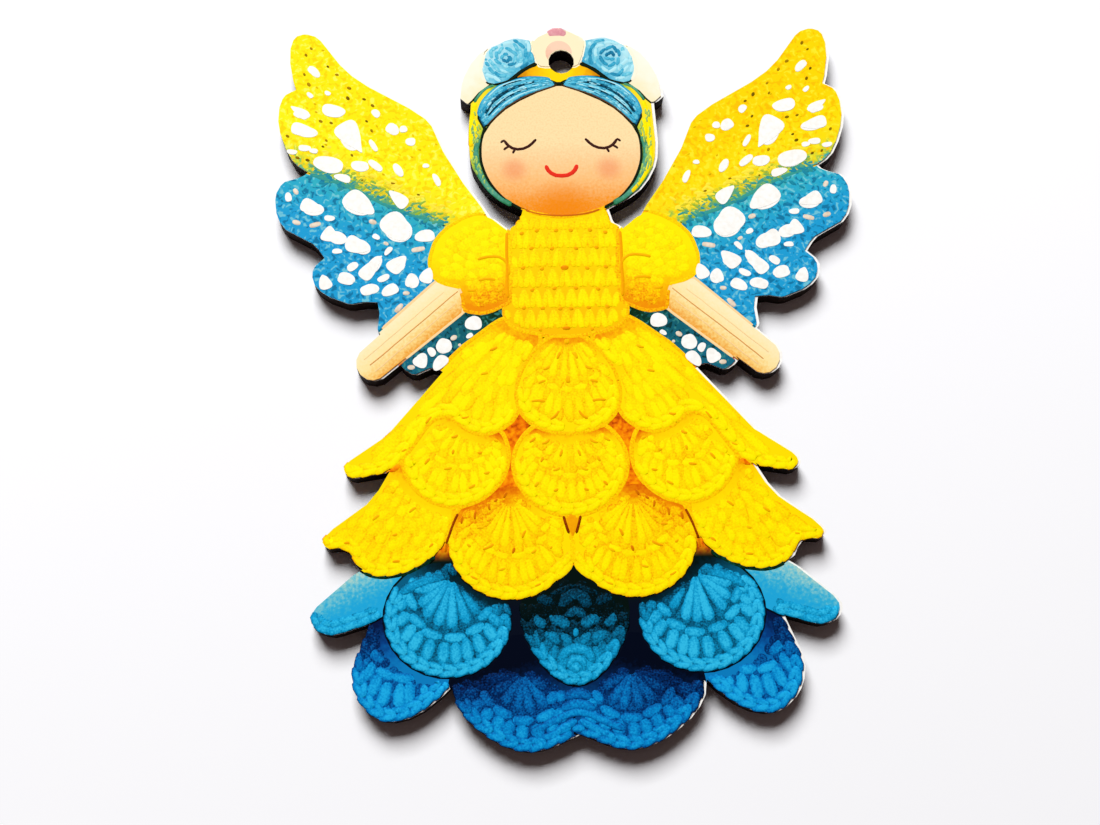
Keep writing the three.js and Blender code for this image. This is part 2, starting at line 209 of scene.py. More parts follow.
def ink_film(name, start, end, stops, grain=0.5, speckle=0.5):
    """Cured ink whose colours run between two places of the drawing's right half.
    Its dots are as large as grain, in millimetres, and vary the colour by speckle."""
    made, tree, shader = surface(name, INK_ROUGHNESS, INK_GLOSS)
    place = add(tree, "TexCoord").outputs["Object"]
    run = Vector((end[0] - start[0], end[1] - start[1], 0)) * MM
    offset = add(
        tree, "VectorMath", {0: folded(tree), 1: (start[0] * MM, start[1] * MM, 0)}, operation="SUBTRACT",
    )
    along = add(
        tree, "VectorMath", {0: offset.outputs[0], 1: run / run.length_squared}, operation="DOT_PRODUCT",
    )
    dots = add(tree, "TexNoise", {"Vector": place, "Scale": 1 / (grain * MM), "Detail": 3.0}).outputs[0]
    spread = add(tree, "Math", {0: dots, 1: speckle, 2: -speckle / 2}, operation="MULTIPLY_ADD")
    level = add(tree, "Math", {0: along.outputs["Value"], 1: spread.outputs[0]}, operation="ADD")
    colour = add(tree, "ValToRGB", {"Fac": level.outputs[0]}, stops)
    tree.links.new(colour.outputs[0], shader.inputs["Base Color"])
    relief = add(tree, "Bump", {"Height": dots, "Strength": 0.15, "Distance": 0.03 * MM})
    tree.links.new(relief.outputs[0], shader.inputs["Normal"])
    return made


def yarn_ink(name, stops, grain=0.35, speckle=0.3):
    """The same ink over a printed strand: its colour follows how far the strand rises to the light."""
    made, tree, shader = surface(name, INK_ROUGHNESS, INK_GLOSS)
    light = add(tree, "Attribute", attribute_name="light").outputs["Fac"]
    place = add(tree, "TexCoord").outputs["Object"]
    fibres = add(tree, "TexNoise", {"Vector": place, "Scale": 1 / (grain * MM), "Detail": 2.0}).outputs[0]
    spread = add(tree, "Math", {0: fibres, 1: speckle, 2: -speckle / 2}, operation="MULTIPLY_ADD")
    level = add(tree, "Math", {0: light, 1: spread.outputs[0]}, operation="ADD").outputs[0]
    colour = add(tree, "ValToRGB", {"Fac": level}, stops).outputs[0]
    tree.links.new(colour, shader.inputs["Base Color"])
    return made


def printed_face(name):
    """The closed edges of a printed field's upper face, in millimetres, the outer one first."""
    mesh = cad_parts[name].data
    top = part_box(name)[1].z
    edges = set()
    for polygon in mesh.polygons:
        corners = [mesh.vertices[i].co for i in polygon.vertices]
        if all(top - corner.z < 0.01 * MM for corner in corners):
            names = [(round(corner.x / MM, 3), round(corner.y / MM, 3)) for corner in corners]
            edges.update(zip(names, names[1:] + names[:1]))
    following = {a: b for a, b in edges if (b, a) not in edges}
    loops = []
    while following:
        loop = [min(following)]
        while loop[-1] in following:
            loop.append(following.pop(loop[-1]))
        loops.append(np.array(loop))
    return sorted(loops, key=lambda loop: -np.ptp(loop, axis=0).sum())


def clearance(points, loops):
    """How far points lie inside a face's edges, in millimetres; below zero outside."""
    starts = np.concatenate([loop[:-1] for loop in loops])
    ends = np.concatenate([loop[1:] for loop in loops])
    run = ends - starts
    offset = points[:, None] - starts
    share = np.clip((offset * run).sum(2) / (run * run).sum(1), 0, 1)
    near = np.linalg.norm(offset - share[..., None] * run, axis=2).min(1)
    level = (starts[:, 1] <= points[:, None, 1]) != (ends[:, 1] <= points[:, None, 1])
    rise = np.where(run[:, 1] == 0, 1, run[:, 1])
    crossing = starts[:, 0] + offset[..., 1] / rise * run[:, 0]
    inside = (level & (crossing > points[:, None, 0])).sum(1) % 2 == 1
    return np.where(inside, near, -near)


def distances(line):
    """How far along a line each of its places lies."""
    return np.concatenate([[0], np.cumsum(np.linalg.norm(np.diff(line, axis=0), axis=1))])


def placed(line, spots):
    """The places at some distances along a line."""
    travel = distances(line)
    return np.stack([np.interp(spots, travel, line[:, i]) for i in (0, 1)], 1)


def leftward(ahead):
    """Unit steps to the left of some directions."""
    return np.stack([-ahead[:, 1], ahead[:, 0]], 1) / np.linalg.norm(ahead, axis=1)[:, None]


def sides(name):
    """A field's printed sides, or its one, with the way that each turns the drawing's right half."""
    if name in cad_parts:
        return [(name, 1)]
    return [(name + "_right", 1), (name + "_left", -1)]


def turned(way, *places):
    """Places of the drawing's right half on one side of the board."""
    return np.array([(way * x - PRINT_SHIFT, y) for x, y in places])


def curve(places, closed=False):
    """A smooth line through a few places."""
    spots = np.array(places, float)
    before, after = (spots[-1:], spots[:2]) if closed else (spots[:1], spots[-1:])
    spots = np.concatenate([before, spots, after])
    line = []
    for a, b, c, d in zip(spots, spots[1:], spots[2:], spots[3:]):
        pull = (c - a) / 2
        bend = a - 2.5 * b + 2 * c - d / 2
        twist = (3 * (b - c) + d - a) / 2
        for t in np.linspace(0, 1, 6, endpoint=False):
            line.append(b + pull * t + bend * t ** 2 + twist * t ** 3)
    return np.array(line if closed else [*line, spots[-1]])


class Yarn:
    """Printed strands and spots of one field: closed low domes that stand on its face, in millimetres."""
    # Places over a strand from side to side: how far across, how high and how lit, as shares
    SECTION = (
        (-1, 0, 0), (-0.8, 0.5, 0.55), (-0.35, 0.93, 1), (0.35, 0.93, 1), (0.8, 0.5, 0.55), (1, 0, 0),
    )
    SINK = 0.02  # how deep it reaches into the field
    RING = 0.55  # about one step along it
    SHORTEST = 0.6  # its least length, in widths
    BLUNT = 0.2  # the share of its size that a rounded end keeps
    TUCKED = (0.4, 0.25)  # the shares of its length that fade at its start and end
    RISE = (0.7, 1.3)  # the shares of its height that it has at its start and end

    def __init__(self, field):
        self.loops = printed_face(field)
        self.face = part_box(field)[1].z / MM
        self.points, self.faces, self.smooth, self.light = [], [], [], []

    def strand(self, line, width, light=1.0, edge=1.0, height=0.03, taper=(1, 1), tuck=(1, 1), room=0.42):
        """One strand along a line. Edge scales its light at its sides, tuck at its two ends, and taper its
        width there. Room is the share of its width that it keeps from the field's edge, if it keeps any."""
        line = np.asarray(line, float)
        if room is not None:
            fits = clearance(line, self.loops) > room * width
            runs = np.split(np.arange(len(line)), np.flatnonzero(np.diff(fits.astype(int))) + 1)
            kept = max((run for run in runs if fits[run[0]]), key=len, default=[])
            line = line[kept]
        if len(line) < 3:
            return
        length = distances(line)[-1]
        if length < self.SHORTEST * width:
            return
        count = max(6, int(length / self.RING) + 1)
        share = (1 - np.cos(np.linspace(0, np.pi, count))) / 2
        line = placed(line, share * length)
        aside = leftward(np.gradient(line, axis=0))
        end = np.minimum(share, 1 - share) * length / width
        swell = np.maximum(np.sqrt(np.clip(1 - (1 - 2 * np.minimum(end, 0.5)) ** 2, 0, 1)), self.BLUNT)
        full = swell * (taper[0] + (taper[1] - taper[0]) * share)
        rise = height * (self.RISE[0] + (self.RISE[1] - self.RISE[0]) * share)
        glow = light * np.minimum(
            tuck[0] + (1 - tuck[0]) * np.minimum(share / self.TUCKED[0], 1),
            tuck[1] + (1 - tuck[1]) * np.minimum((1 - share) / self.TUCKED[1], 1),
        )
        first = len(self.points)
        for i in range(count):
            for across, up, lit in self.SECTION:
                x, y = line[i] + aside[i] * across * full[i] * width / 2
                z = self.face - self.SINK + (self.SINK + rise[i]) * up * swell[i]
                self.points.append((x, y, z))
                self.light.append(glow[i] * (edge + (1 - edge) * lit))
        size = len(self.SECTION)
        for i in range(count - 1):
            here, there = first + i * size, first + (i + 1) * size
            for j in range(size - 1):
                self.faces.append((here + j, there + j, there + j + 1, here + j + 1))
            self.faces.append((here, here + size - 1, there + size - 1, there))
        self.faces.append(tuple(range(first, first + size)))
        self.faces.append(tuple(range(first + count * size - 1, first + (count - 1) * size - 1, -1)))
        self.smooth += [True] * (len(self.faces) - len(self.smooth) - 2) + [False] * 2

    def drawn(self, way, places, *look, **more):
        """A strand along a smooth line through a few places, on one side of the board."""
        self.strand(curve(turned(way, *places)), *look, **more)

    def blot(self, outline, height=0.04, depth=SINK):
        """A flat spot of ink inside a closed outline that runs anticlockwise."""
        first, count = len(self.points), len(outline)
        for z in (self.face - depth, self.face + height):
            self.points += [(x, y, z) for x, y in outline]
        self.light += [1.0] * (2 * count)
        self.faces.append(tuple(range(first + count - 1, first - 1, -1)))
        self.faces.append(tuple(range(first + count, first + 2 * count)))
        for i in range(count):
            after = (i + 1) % count
            self.faces.append((first + i, first + after, first + count + after, first + count + i))
        self.smooth += [False] * (len(self.faces) - len(self.smooth))

    def make(self, name, ink, slot):
        """The strands as one piece on the board."""
        mesh = bpy.data.meshes.new(name)
        mesh.from_pydata([Vector(p) * MM for p in self.points], [], self.faces)
        mesh.attributes.new("light", "FLOAT", "POINT").data.foreach_set("value", self.light)
        mesh.materials.append(ink)
        mesh.polygons.foreach_set("use_smooth", self.smooth)
        piece = bpy.data.objects.new(name, mesh)
        bpy.context.scene.collection.objects.link(piece)
        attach(piece, "root")


def shading(start, end, low, high):
    """How light a place is between a shaded and a lit one."""
    run = end - start

    def light(place):
        share = np.clip((place - start) @ run / (run @ run), 0, 1)
        return low + (high - low) * share * share * (3 - 2 * share)

    return light


LONGEST_RAY = 36  # longer than any petal
UNDER_SPREAD = 1.3  # how much wider the lower rows fan out
LOOP_RISE = 0.3
LOOP_SPAN = 0.55  # half of a loop's width, in spacings
POST_SWAY = 0.25
POST_BEND = 2.2
chance = random.Random(7)


def fan(yarn, hub, lean, spread, light, tiers, edge, height):
    """Crochet posts and loops in tiers that spread from a hub, sized by shares of the way to the rim."""
    reaches = np.arange(0.5, LONGEST_RAY, 0.25)

    def ray(turn):
        way = np.array([math.sin(turn), -math.cos(turn)])
        inside = reaches[clearance(hub + reaches[:, None] * way, yarn.loops) > 0]
        return way, (inside[-1] if len(inside) else 0)

    full = ray(math.radians(lean))[1]
    for near, far, pitch, width, taper, dim in tiers:
        opening = math.radians(spread if dim == 1 else UNDER_SPREAD * spread)
        count = max(2, round(opening * full * far / pitch))
        for i in range(count + 1):
            turn = math.radians(lean) + opening * (i / count - 0.5) + chance.uniform(-0.03, 0.03)
            way, reach = ray(turn)
            across = np.array([way[1], -way[0]])
            if near == far:
                bow = np.linspace(-1, 1, 9)[:, None]
                rise = near * reach + LOOP_RISE * (1 - bow ** 2)
                line = hub + way * rise + across * bow * LOOP_SPAN * pitch
            else:
                share = np.linspace(0, 1, 13)[:, None]
                sway = chance.uniform(-POST_SWAY, POST_SWAY) * np.sin(POST_BEND * share)
                line = hub + way * reach * (near + (far - near) * share) + across * sway
            bright = dim * light(line[len(line) // 2]) * chance.uniform(0.88, 1.06)
            yarn.strand(line, width, bright, edge, height * dim, taper, (0.75, 0.8))


BRAID_LENGTH = 2.9
BRAID_PITCH = 2.1
BRAID_WIDTH = 1.3
BRAID_BREAK = 0.8  # it stops this far from the middle line


def rim_braid(yarn, lean, light, inset, slant, edge, height, facing):
    """Slanted stitches, each over the start of the next, along the rim that faces away from the hub."""
    rim = yarn.loops[0]
    length = distances(rim)[-1]
    down = np.array([math.sin(math.radians(lean)), -math.cos(math.radians(lean))])
    steps = np.linspace(-1, 1, 13)
    half = len(steps) // 2
    for start in np.linspace(0, length, int(length / BRAID_PITCH), endpoint=False):
        base = placed(rim, (start + steps * BRAID_LENGTH / 2) % length)
        inward = leftward(np.gradient(base, axis=0))
        if -inward[half] @ down < facing or abs(base[half, 0] + PRINT_SHIFT) < BRAID_BREAK:
            continue
        line = base + inward * (inset + slant * steps[:, None])
        bright = light(base[half]) * chance.uniform(0.94, 1.06)
        yarn.strand(line, BRAID_WIDTH, bright, edge, height, (0.9, 1), (0.62, 0.9), 0.15)


BOARD_EDGE = printed_face("white_coat")
SEAM_STEP = 0.4
SEAM_WIDTH = 0.84
SEAM_OFFSET = 0.15  # half of the gap between two fields
CUT_MARGIN = 0.45  # it stays this far from the board's edge


def seam(yarn, light, lowest=-26, highest=60, height=0.012):
    """A flat stroke in the thin gap round a field, wherever another field lies beyond it."""
    rim = yarn.loops[0]
    length = distances(rim)[-1]
    line = placed(rim, np.linspace(0, length, int(length / SEAM_STEP) + 2)[:-1])
    line = line - SEAM_OFFSET * leftward(np.roll(line, -1, 0) - np.roll(line, 1, 0))
    inner = (clearance(line, BOARD_EDGE) > CUT_MARGIN) & (line[:, 1] > lowest) & (line[:, 1] < highest)
    order = np.roll(np.arange(len(line)), -np.argmin(inner))
    if inner.all():
        order = np.append(order, order[:5])
    for run in np.split(order, np.flatnonzero(np.diff(inner[order].astype(int))) + 1):
        if inner[run[0]]:
            yarn.strand(line[run], SEAM_WIDTH, light, 1, height, room=None)


YELLOW_YARN = yarn_ink(
    "yellow_yarn_print",
    [(0.0, "#C84A00"), (0.3, "#EE8C00"), (0.5, "#FCC000"), (0.7, "#FFDC00"), (1.0, "#FFF200")],
    grain=0.3, speckle=0.8,
)
SKY_YARN = yarn_ink(
    "light_blue_yarn_print",
    [(0.0, "#010F10"), (0.25, "#03405C"), (0.5, "#0878A4"), (0.75, "#0E9CD0"), (1.0, "#30BCE8")],
    grain=0.25, speckle=0.85,
)
DEEP_YARN = yarn_ink(
    "deep_blue_yarn_print",
    [(0.0, "#010A28"), (0.25, "#022E68"), (0.5, "#0564AC"), (0.75, "#068CD0"), (1.0, "#1CACE6")],
    grain=0.25, speckle=0.85,
)
YELLOW_GROUND = [(0.0, "#D45400"), (0.25, "#F08C00"), (0.55, "#FECC00"), (1.0, "#FFE000")]
SKY_GROUND = [(0.0, "#020F0C"), (0.35, "#02222E"), (0.7, "#044860"), (1.0, "#065C80")]
DEEP_GROUND = [(0.0, "#010618"), (0.35, "#021A40"), (0.7, "#043468"), (1.0, "#064684")]
LIT_GROUND = [(0.0, "#03143E"), (0.4, "#043C80"), (0.7, "#0664AC"), (1.0, "#0A7CBE")]

# A petal's look: its ground, its yarn and slot, how lit its strands' sides are, and their height
YELLOW = (YELLOW_GROUND, YELLOW_YARN, "yellow_ink", 0.34, 0.024)
AMBER = (YELLOW_GROUND, YELLOW_YARN, "amber_ink", 0.28, 0.024)
SKY = (SKY_GROUND, SKY_YARN, "blue_ink", 0.12, 0.04)
DEEP = (DEEP_GROUND, DEEP_YARN, "navy_ink", 0.25, 0.04)
DEEP_LIT = (LIT_GROUND, DEEP_YARN, "navy_ink", 0.25, 0.04)


def under(dim):
    """The rows of yarn that show through between the upper stitches."""
    return [(near, near + 0.2, 1.5, 1.9, (1, 1), dim) for near in (0.08, 0.24, 0.4, 0.56, 0.72)]


# A tier of stitches: where they start and end, as shares of the way from hub to rim, their spacing
# and width, how their width tapers and how lit they are. A tier that ends where it starts is loops.
ROUND = [
    *under(0.74),
    (0.08, 0.52, 1.75, 1.9, (0.35, 1), 1),
    (0.57, 0.57, 2.0, 1.5, (1, 1), 1),
    (0.61, 0.88, 1.65, 1.75, (0.9, 1), 1),
]
LONG = [
    *under(0.84),
    (0.05, 0.24, 1.7, 2.0, (0.5, 1), 1),
    *((near, near + 0.17, 1.7, 2.0, (1, 1), 1) for near in (0.21, 0.35, 0.49, 0.63, 0.77)),
]
BOLD = [
    *under(0.46),
    (0.04, 0.53, 2.3, 2.4, (0.3, 1), 1),
    (0.6, 0.6, 2.9, 1.8, (1, 1), 1),
    (0.63, 0.9, 2.3, 2.3, (0.9, 1), 1),
]

# The braid's two strands: their inset, their slant and how much higher than the stitches they stand.
# It lies where the cosine between the rim's facing and the petal's lean is at least RIM or WIDE_RIM.
BRAID = ((1.3, -0.35, 1.5), (0.5, 0.3, 1.7))
RIM = -0.1
WIDE_RIM = -0.55

# Each petal: its look, tiers and rim, its hub, a shaded and a lit place, its lean and spread in degrees,
# and its darkest and lightest yarn
PETALS = {
    "row1_centre": (YELLOW, ROUND, RIM, (0, 5.6), (0, 6), (0, 0), 0, 84, 0.86, 0.95),
    "row1_side": (YELLOW, LONG, RIM, (5.0, 9.6), (5, 9), (12, 0), 34, 52, 0.94, 1.0),
    "row2_centre": (YELLOW, ROUND, RIM, (0, -8.2), (0, -9), (0, -12), 0, 150, 0.72, 0.94),
    "row2_side": (YELLOW, ROUND, RIM, (14.8, -7.0), (11.5, -9), (13, -12), 16, 150, 0.78, 1.0),
    "row3_inner": (AMBER, ROUND, RIM, (8.8, -19.4), (12.6, -18.6), (10.1, -25.2), 0, 150, 0.38, 0.92),
    "row3_outer": (AMBER, LONG, RIM, (20.5, -14), (20, -15), (22.5, -20), 24, 96, 0.5, 0.92),
    "row4_centre": (SKY, under(0.85), RIM, (0, -31), (0, -35.5), (0, -44), 0, 130, -0.1, 0.9),
    "row4_side": (SKY, BOLD, WIDE_RIM, (17.2, -30.8), (16, -30), (18.5, -34), 9, 190, 0.4, 0.97),
    "row5_inner": (DEEP, BOLD, RIM, (7.6, -44.4), (9, -43.5), (7.5, -50.5), 0, 165, 0.14, 0.8),
    "row5_outer": (DEEP_LIT, BOLD, WIDE_RIM, (23.2, -36), (28.5, -37.5), (26, -44), 24, 150, 0.2, 0.95),
}
for petal, (look, tiers, facing, hub, dark, lit, lean, spread, low, high) in PETALS.items():
    ground, ink, slot, edge, height = look
    film = ink_film(petal + "_ink", dark, lit, ground)
    for field, way in sides(petal):
        dress(field, film)
        yarn = Yarn(field)
        hub_at, dark_at, lit_at = turned(way, hub, dark, lit)
        light = shading(dark_at, lit_at, low, high)
        fan(yarn, hub_at, way * lean, spread, light, tiers, edge, height)
        for inset, slant, rise in BRAID:
            rim_braid(yarn, way * lean, light, inset, slant, edge, rise * height, facing)
        if ink is YELLOW_YARN:
            seam(yarn, 0.55, highest=hub[1])
        yarn.make(field + "_stitches", ink, slot)

# The hem's outermost petals are felt, pale where they come out from under the yellow,
# with two cords along their lower edge
FELT_FILM = ink_film(
    "row4_tip_ink", (31.5, -29.3), (29.2, -34.4),
    [(0.0, "#BCD8C8"), (0.35, "#78C6D2"), (0.7, "#36B0D6"), (1.0, "#1EA6DA")],
    grain=0.45, speckle=1.3,
)
TIP_LEAN = 35
TIP_RIM = 0.35
for field, way in sides("row4_tip"):
    dress(field, FELT_FILM)
    yarn = Yarn(field)
    light = shading(*turned(way, (27, -31), (31, -35)), 0.7, 0.92)
    for inset, slant, edge, height in ((1.5, -0.15, 0.6, 0.05), (0.5, 0.15, 0.5, 0.06)):
        rim_braid(yarn, way * TIP_LEAN, light, inset, slant, edge, height, TIP_RIM)
    yarn.make(field + "_cord", SKY_YARN, "blue_ink")

# A leaf of yarn lies at the top of each side petal
LEAF = ((17.8, -30.7), (20.4, -31.0), (22.6, -31.8), (24.6, -33.0))
for field, way in sides("row4_side"):
    yarn = Yarn(field)
    yarn.drawn(way, LEAF, 1.7, 0.72, 0.2, 0.06, tuck=(0.5, 0.8), room=0.3)
    yarn.make(field + "_leaf", SKY_YARN, "blue_ink")


def mirrored(*half):
    """A line across the middle from its right half, which starts on the middle."""
    return [(-x, y) for x, y in half[:0:-1]] + list(half)


# A small bow closes the hem's middle seam: each line of yarn with its width and how lit it is
bow = Yarn("row5_inner_right")
for places, width, light in (
    (mirrored((0, -47.3), (1.9, -48.0)), 1.7, 0.56),
    (mirrored((0, -48.8), (2.4, -49.6)), 1.7, 0.66),
    (mirrored((0, -49.9), (1.8, -50.3), (4.0, -51.4), (6.4, -52.4)), 1.3, 0.74),
    (((-4.6, -53.4), (-2.4, -52.2), (-0.2, -51.0)), 1.3, 0.8),
    (((4.6, -53.4), (2.4, -52.2), (0.2, -51.0)), 1.3, 0.8),
    (mirrored((0, -52.1), (0.9, -52.3)), 1.2, 0.84),
):
    bow.drawn(1, places, width, light, 0.25, 0.08, tuck=(0.8, 0.8), room=None)
bow.make("hem_bow", DEEP_YARN, "navy_ink")

# Arcs at both sides and a round motif fill the middle petal above it
motif = Yarn("row4_centre")
for way in (1, -1):
    for places, width, light in (
        (((3.4, -33.6), (1.8, -32.9), (0, -32.2)), 0.9, 0.06),
        (((5.4, -34.2), (4.2, -34.2), (3.0, -35.0)), 1.6, 0.12),
        (((5.7, -36.2), (5.2, -37.3), (4.0, -38.0)), 1.9, 0.4),
        (((3.7, -36.6), (2.2, -37.3), (0.7, -38.0)), 2.0, 0.44),
        (((4.5, -39.0), (3.2, -39.4), (2.4, -40.6)), 1.9, 0.54),
        (((2.2, -39.0), (1.3, -39.8), (0.8, -40.8)), 1.6, 0.56),
    ):
        motif.drawn(way, places, width, light, 0.2, 0.06, tuck=(0.8, 0.8), room=0.2)
for places, width, light in (
    (mirrored((0, -33.5), (1.3, -34.1), (1.9, -35.6)), 2.0, 0.2),
    (mirrored((0, -35.9), (1.5, -36.7)), 1.6, 0.3),
    (((0, -38.2), (0, -38.9), (0, -39.6)), 1.0, 0.7),
    (mirrored((0, -41.1), (1.6, -41.7), (2.4, -43.2)), 1.7, 0.76),
    (mirrored((0, -42.5), (0.8, -42.8), (1.2, -43.9)), 1.3, 0.84),
    (((0, -43.0), (0, -43.6), (0, -44.6)), 1.2, 0.9),
):
    motif.drawn(1, places, width, light, 0.2, 0.07, tuck=(0.8, 0.8), room=0.2)
motif.make("hem_motif", SKY_YARN, "blue_ink")


# Skirt marks: small orange and brown strokes where the yarn leaves holes, printed over the stitches.
# They lie thicker where petals overlap, and a dark pair makes a V under the middle petal.

# Each petal's strokes, as three places of the drawing's right half, which the left half repeats
MARKS = {
    "row1_centre": [
        ((3.4, -5.3), (4.4, -5.1), (5.5, -5.2)), ((1.4, -6.6), (1.9, -7.4), (2.8, -8.0)),
        ((0.1, -1.4), (0.1, -2.0), (0.1, -2.6)), ((3.2, -2.1), (3.8, -2.2), (4.4, -2.5)),
        ((1.0, 2.3), (1.3, 1.7), (1.5, 1.1)), ((4.7, 3.2), (4.9, 2.6), (5.2, 2.0)),
        ((0.1, 4.3), (0.1, 3.9), (0.1, 3.4)), ((2.6, 0.2), (3.0, -0.2), (3.6, -0.4)),
    ],
    "row1_side": [
        ((6.2, -2.2), (6.6, -2.7), (7.0, -3.3)), ((14.5, -7.3), (15.0, -7.5), (15.7, -7.5)),
        ((19.8, -7.0), (20.3, -7.6), (20.9, -8.3)), ((11.6, -0.8), (12.2, -0.8), (12.8, -1.0)),
        ((10.2, 3.2), (10.8, 2.9), (11.4, 2.7)), ((22.5, -11.2), (23.4, -11.9), (24.4, -12.4)),
    ],
    "row2_centre": [
        ((2.9, -10.9), (3.4, -11.4), (4.1, -11.6)), ((4.9, -10.6), (5.3, -11.0), (5.9, -11.4)),
        ((1.1, -12.5), (1.3, -13.0), (1.5, -13.6)), ((1.5, -15.1), (2.0, -15.5), (2.6, -15.6)),
        ((3.9, -13.5), (4.1, -14.0), (4.3, -14.4)), ((0.1, -9.4), (0.1, -9.8), (0.1, -10.2)),
        ((1.8, -18.3), (2.2, -18.5), (2.6, -18.6)), ((4.6, -17.2), (5.0, -17.6), (5.3, -18.0)),
    ],
    "row2_side": [
        ((10.4, -11.3), (10.7, -11.0), (11.1, -10.8)), ((12.7, -12.6), (13.0, -12.8), (13.4, -12.7)),
        ((16.8, -12.1), (16.9, -12.5), (17.0, -13.0)), ((17.0, -14.9), (17.6, -15.0), (18.3, -15.1)),
        ((13.7, -17.4), (14.2, -17.7), (14.8, -18.0)), ((11.6, -15.6), (12.1, -15.8), (12.6, -15.8)),
        ((20.2, -13.4), (20.7, -13.9), (21.0, -14.4)), ((16.2, -10.0), (16.6, -10.3), (17.2, -10.4)),
    ],
    "row3_inner": [
        ((5.2, -27.1), (5.5, -27.3), (6.0, -27.6)), ((2.9, -26.6), (3.1, -26.8), (3.3, -27.0)),
        ((12.6, -23.8), (13.1, -23.7), (13.7, -23.8)), ((11.5, -22.4), (11.9, -22.7), (12.3, -22.8)),
        ((14.5, -26.5), (14.8, -26.3), (15.1, -26.0)), ((11.2, -26.1), (12.0, -26.6), (12.9, -26.9)),
        ((4.5, -31.9), (5.0, -32.1), (5.6, -32.3)), ((1.2, -29.8), (1.7, -30.4), (2.3, -30.9)),
        ((9.6, -29.6), (10.1, -29.8), (10.7, -29.9)), ((6.6, -24.2), (7.0, -24.8), (7.2, -25.4)),
        ((13.4, -31.2), (14.0, -31.0), (14.6, -30.6)),
    ],
    "row3_outer": [
        ((19.7, -25.8), (20.1, -26.1), (20.5, -26.5)), ((24.9, -24.3), (25.2, -24.5), (25.7, -24.6)),
        ((24.5, -28.4), (25.0, -28.3), (25.7, -28.4)), ((31.6, -25.6), (32.0, -25.5), (32.6, -25.6)),
        ((22.2, -20.6), (22.8, -20.9), (23.3, -21.4)), ((27.4, -21.6), (28.0, -21.9), (28.5, -22.4)),
    ],
}
HOLES = {
    "row3_inner": [
        ((8.3, -26.7), (8.5, -27.2), (8.6, -27.6)), ((9.2, -18.7), (9.5, -19.0), (9.7, -19.5)),
        ((11.8, -20.2), (11.9, -20.7), (11.7, -21.3)), ((13.7, -21.3), (13.9, -21.9), (13.9, -22.6)),
        ((15.6, -22.0), (15.8, -22.6), (15.8, -23.2)), ((10.6, -19.6), (10.9, -19.9), (11.2, -20.0)),
    ],
    "key_ink": [((17.9, -25.6), (18.0, -26.4), (18.2, -27.2))],
}

# Deep orange shows between the middle petals and the side ones, and in a notch at each side
GAP_INK = yarn_ink(
    "stitch_gap_print", [(0.0, "#B84000"), (0.45, "#F07400"), (1.0, "#FFA000")], grain=0.7, speckle=2.4,
)
SIDE_GAP = ((7.7, -4.6), (8.0, -8.0), (8.4, -12.0), (9.0, -15.4), (10.2, -18.6))
SIDE_NOTCH = ((24.7, -14.3), (25.4, -15.0), (26.1, -15.3))
gaps = Yarn("row2_centre")
for way in (1, -1):
    gaps.drawn(way, SIDE_GAP, 5.0, 0.6, 1, -0.004, tuck=(0, 1), room=None)
    gaps.drawn(way, SIDE_NOTCH, 1.2, 0.7, 1, 0.05, (1, 0.4), room=None)
gaps.make("skirt_gaps", GAP_INK, "amber_ink")

# The outer yellow petals shade the blue ones below them in green-black
SHADE_INK = yarn_ink(
    "petal_shade_print", [(0.0, "#020C06"), (0.5, "#05301A"), (1.0, "#0C5A54")], grain=0.6, speckle=2.0,
)
for field, _ in sides("row3_outer"):
    shade = Yarn(field)
    seam(shade, 0.36, -32, -27.6)
    shade.make(field + "_shade", SHADE_INK, "key_ink")

# The lowest yellow petals meet in a seam that ends in two pairs of slanted stitches
join = Yarn("row3_inner_right")
join.drawn(1, ((0, -25.0), (0, -26.6), (0, -29.2)), 1.2, 0.66, 1, 0.012, room=None)
for way in (1, -1):
    for places, light in (
        (((0.35, -27.4), (0.9, -28.6), (1.9, -29.6)), 0.86),
        (((0.2, -28.9), (1.3, -30.2), (2.9, -31.3)), 0.9),
    ):
        join.drawn(way, places, 1.3, light, 0.36, 0.04, tuck=(0.7, 0.9), room=None)
join.make("skirt_middle_seam", YELLOW_YARN, "yellow_ink")

# An amber notch with brown sides lies over that seam, and brown lines part its petals from the outer ones
MARK_INK = yarn_ink("stitch_mark_print", [(0.0, "#E88400"), (0.4, "#F8AC00"), (1.0, "#FFE000")])
HOLE_INK = yarn_ink("stitch_hole_print", [(0.0, "#7A2400"), (0.4, "#D06800"), (1.0, "#FFB400")])
NOTCH_SIDE = ((1.25, -22.2), (0.9, -23.6), (0.5, -24.9))
PARTING = ((16.3, -21.6), (17.0, -23.1), (17.6, -24.8), (18.0, -25.9))
notch, brown = Yarn("row3_inner_right"), Yarn("row3_inner_right")
notch.drawn(1, ((0, -21.8), (0, -23.2), (0, -25.4)), 3.4, 0.3, 1.6, 0.04, (1, 0.15), room=None)
notch.make("skirt_notch", MARK_INK, "amber_ink")
for way in (1, -1):
    brown.drawn(way, NOTCH_SIDE, 0.45, 0.05, 1, 0.07, room=None)
    brown.drawn(way, PARTING, 0.4, 0.1, 1, 0.07, room=None)
brown.make("skirt_notch_lines", HOLE_INK, "amber_ink")

# Each small stroke is darkest in its core and ends as pale as the yarn
PALE_END = 0.8
for strokes, ink, width, kind in ((MARKS, MARK_INK, 0.65, "marks"), (HOLES, HOLE_INK, 0.6, "holes")):
    for petal, lines in strokes.items():
        for field, _ in sides(petal):
            yarn = Yarn(field)
            for way in (1, -1):
                for places in lines:
                    core = chance.uniform(0.3, 0.55)
                    pale = PALE_END / core
                    yarn.drawn(way, places, width, core, 1 / core, 0.055, (1, 0.7), (pale, pale), 0.3)
            yarn.make(f"{field}_{kind}", ink, "amber_ink")


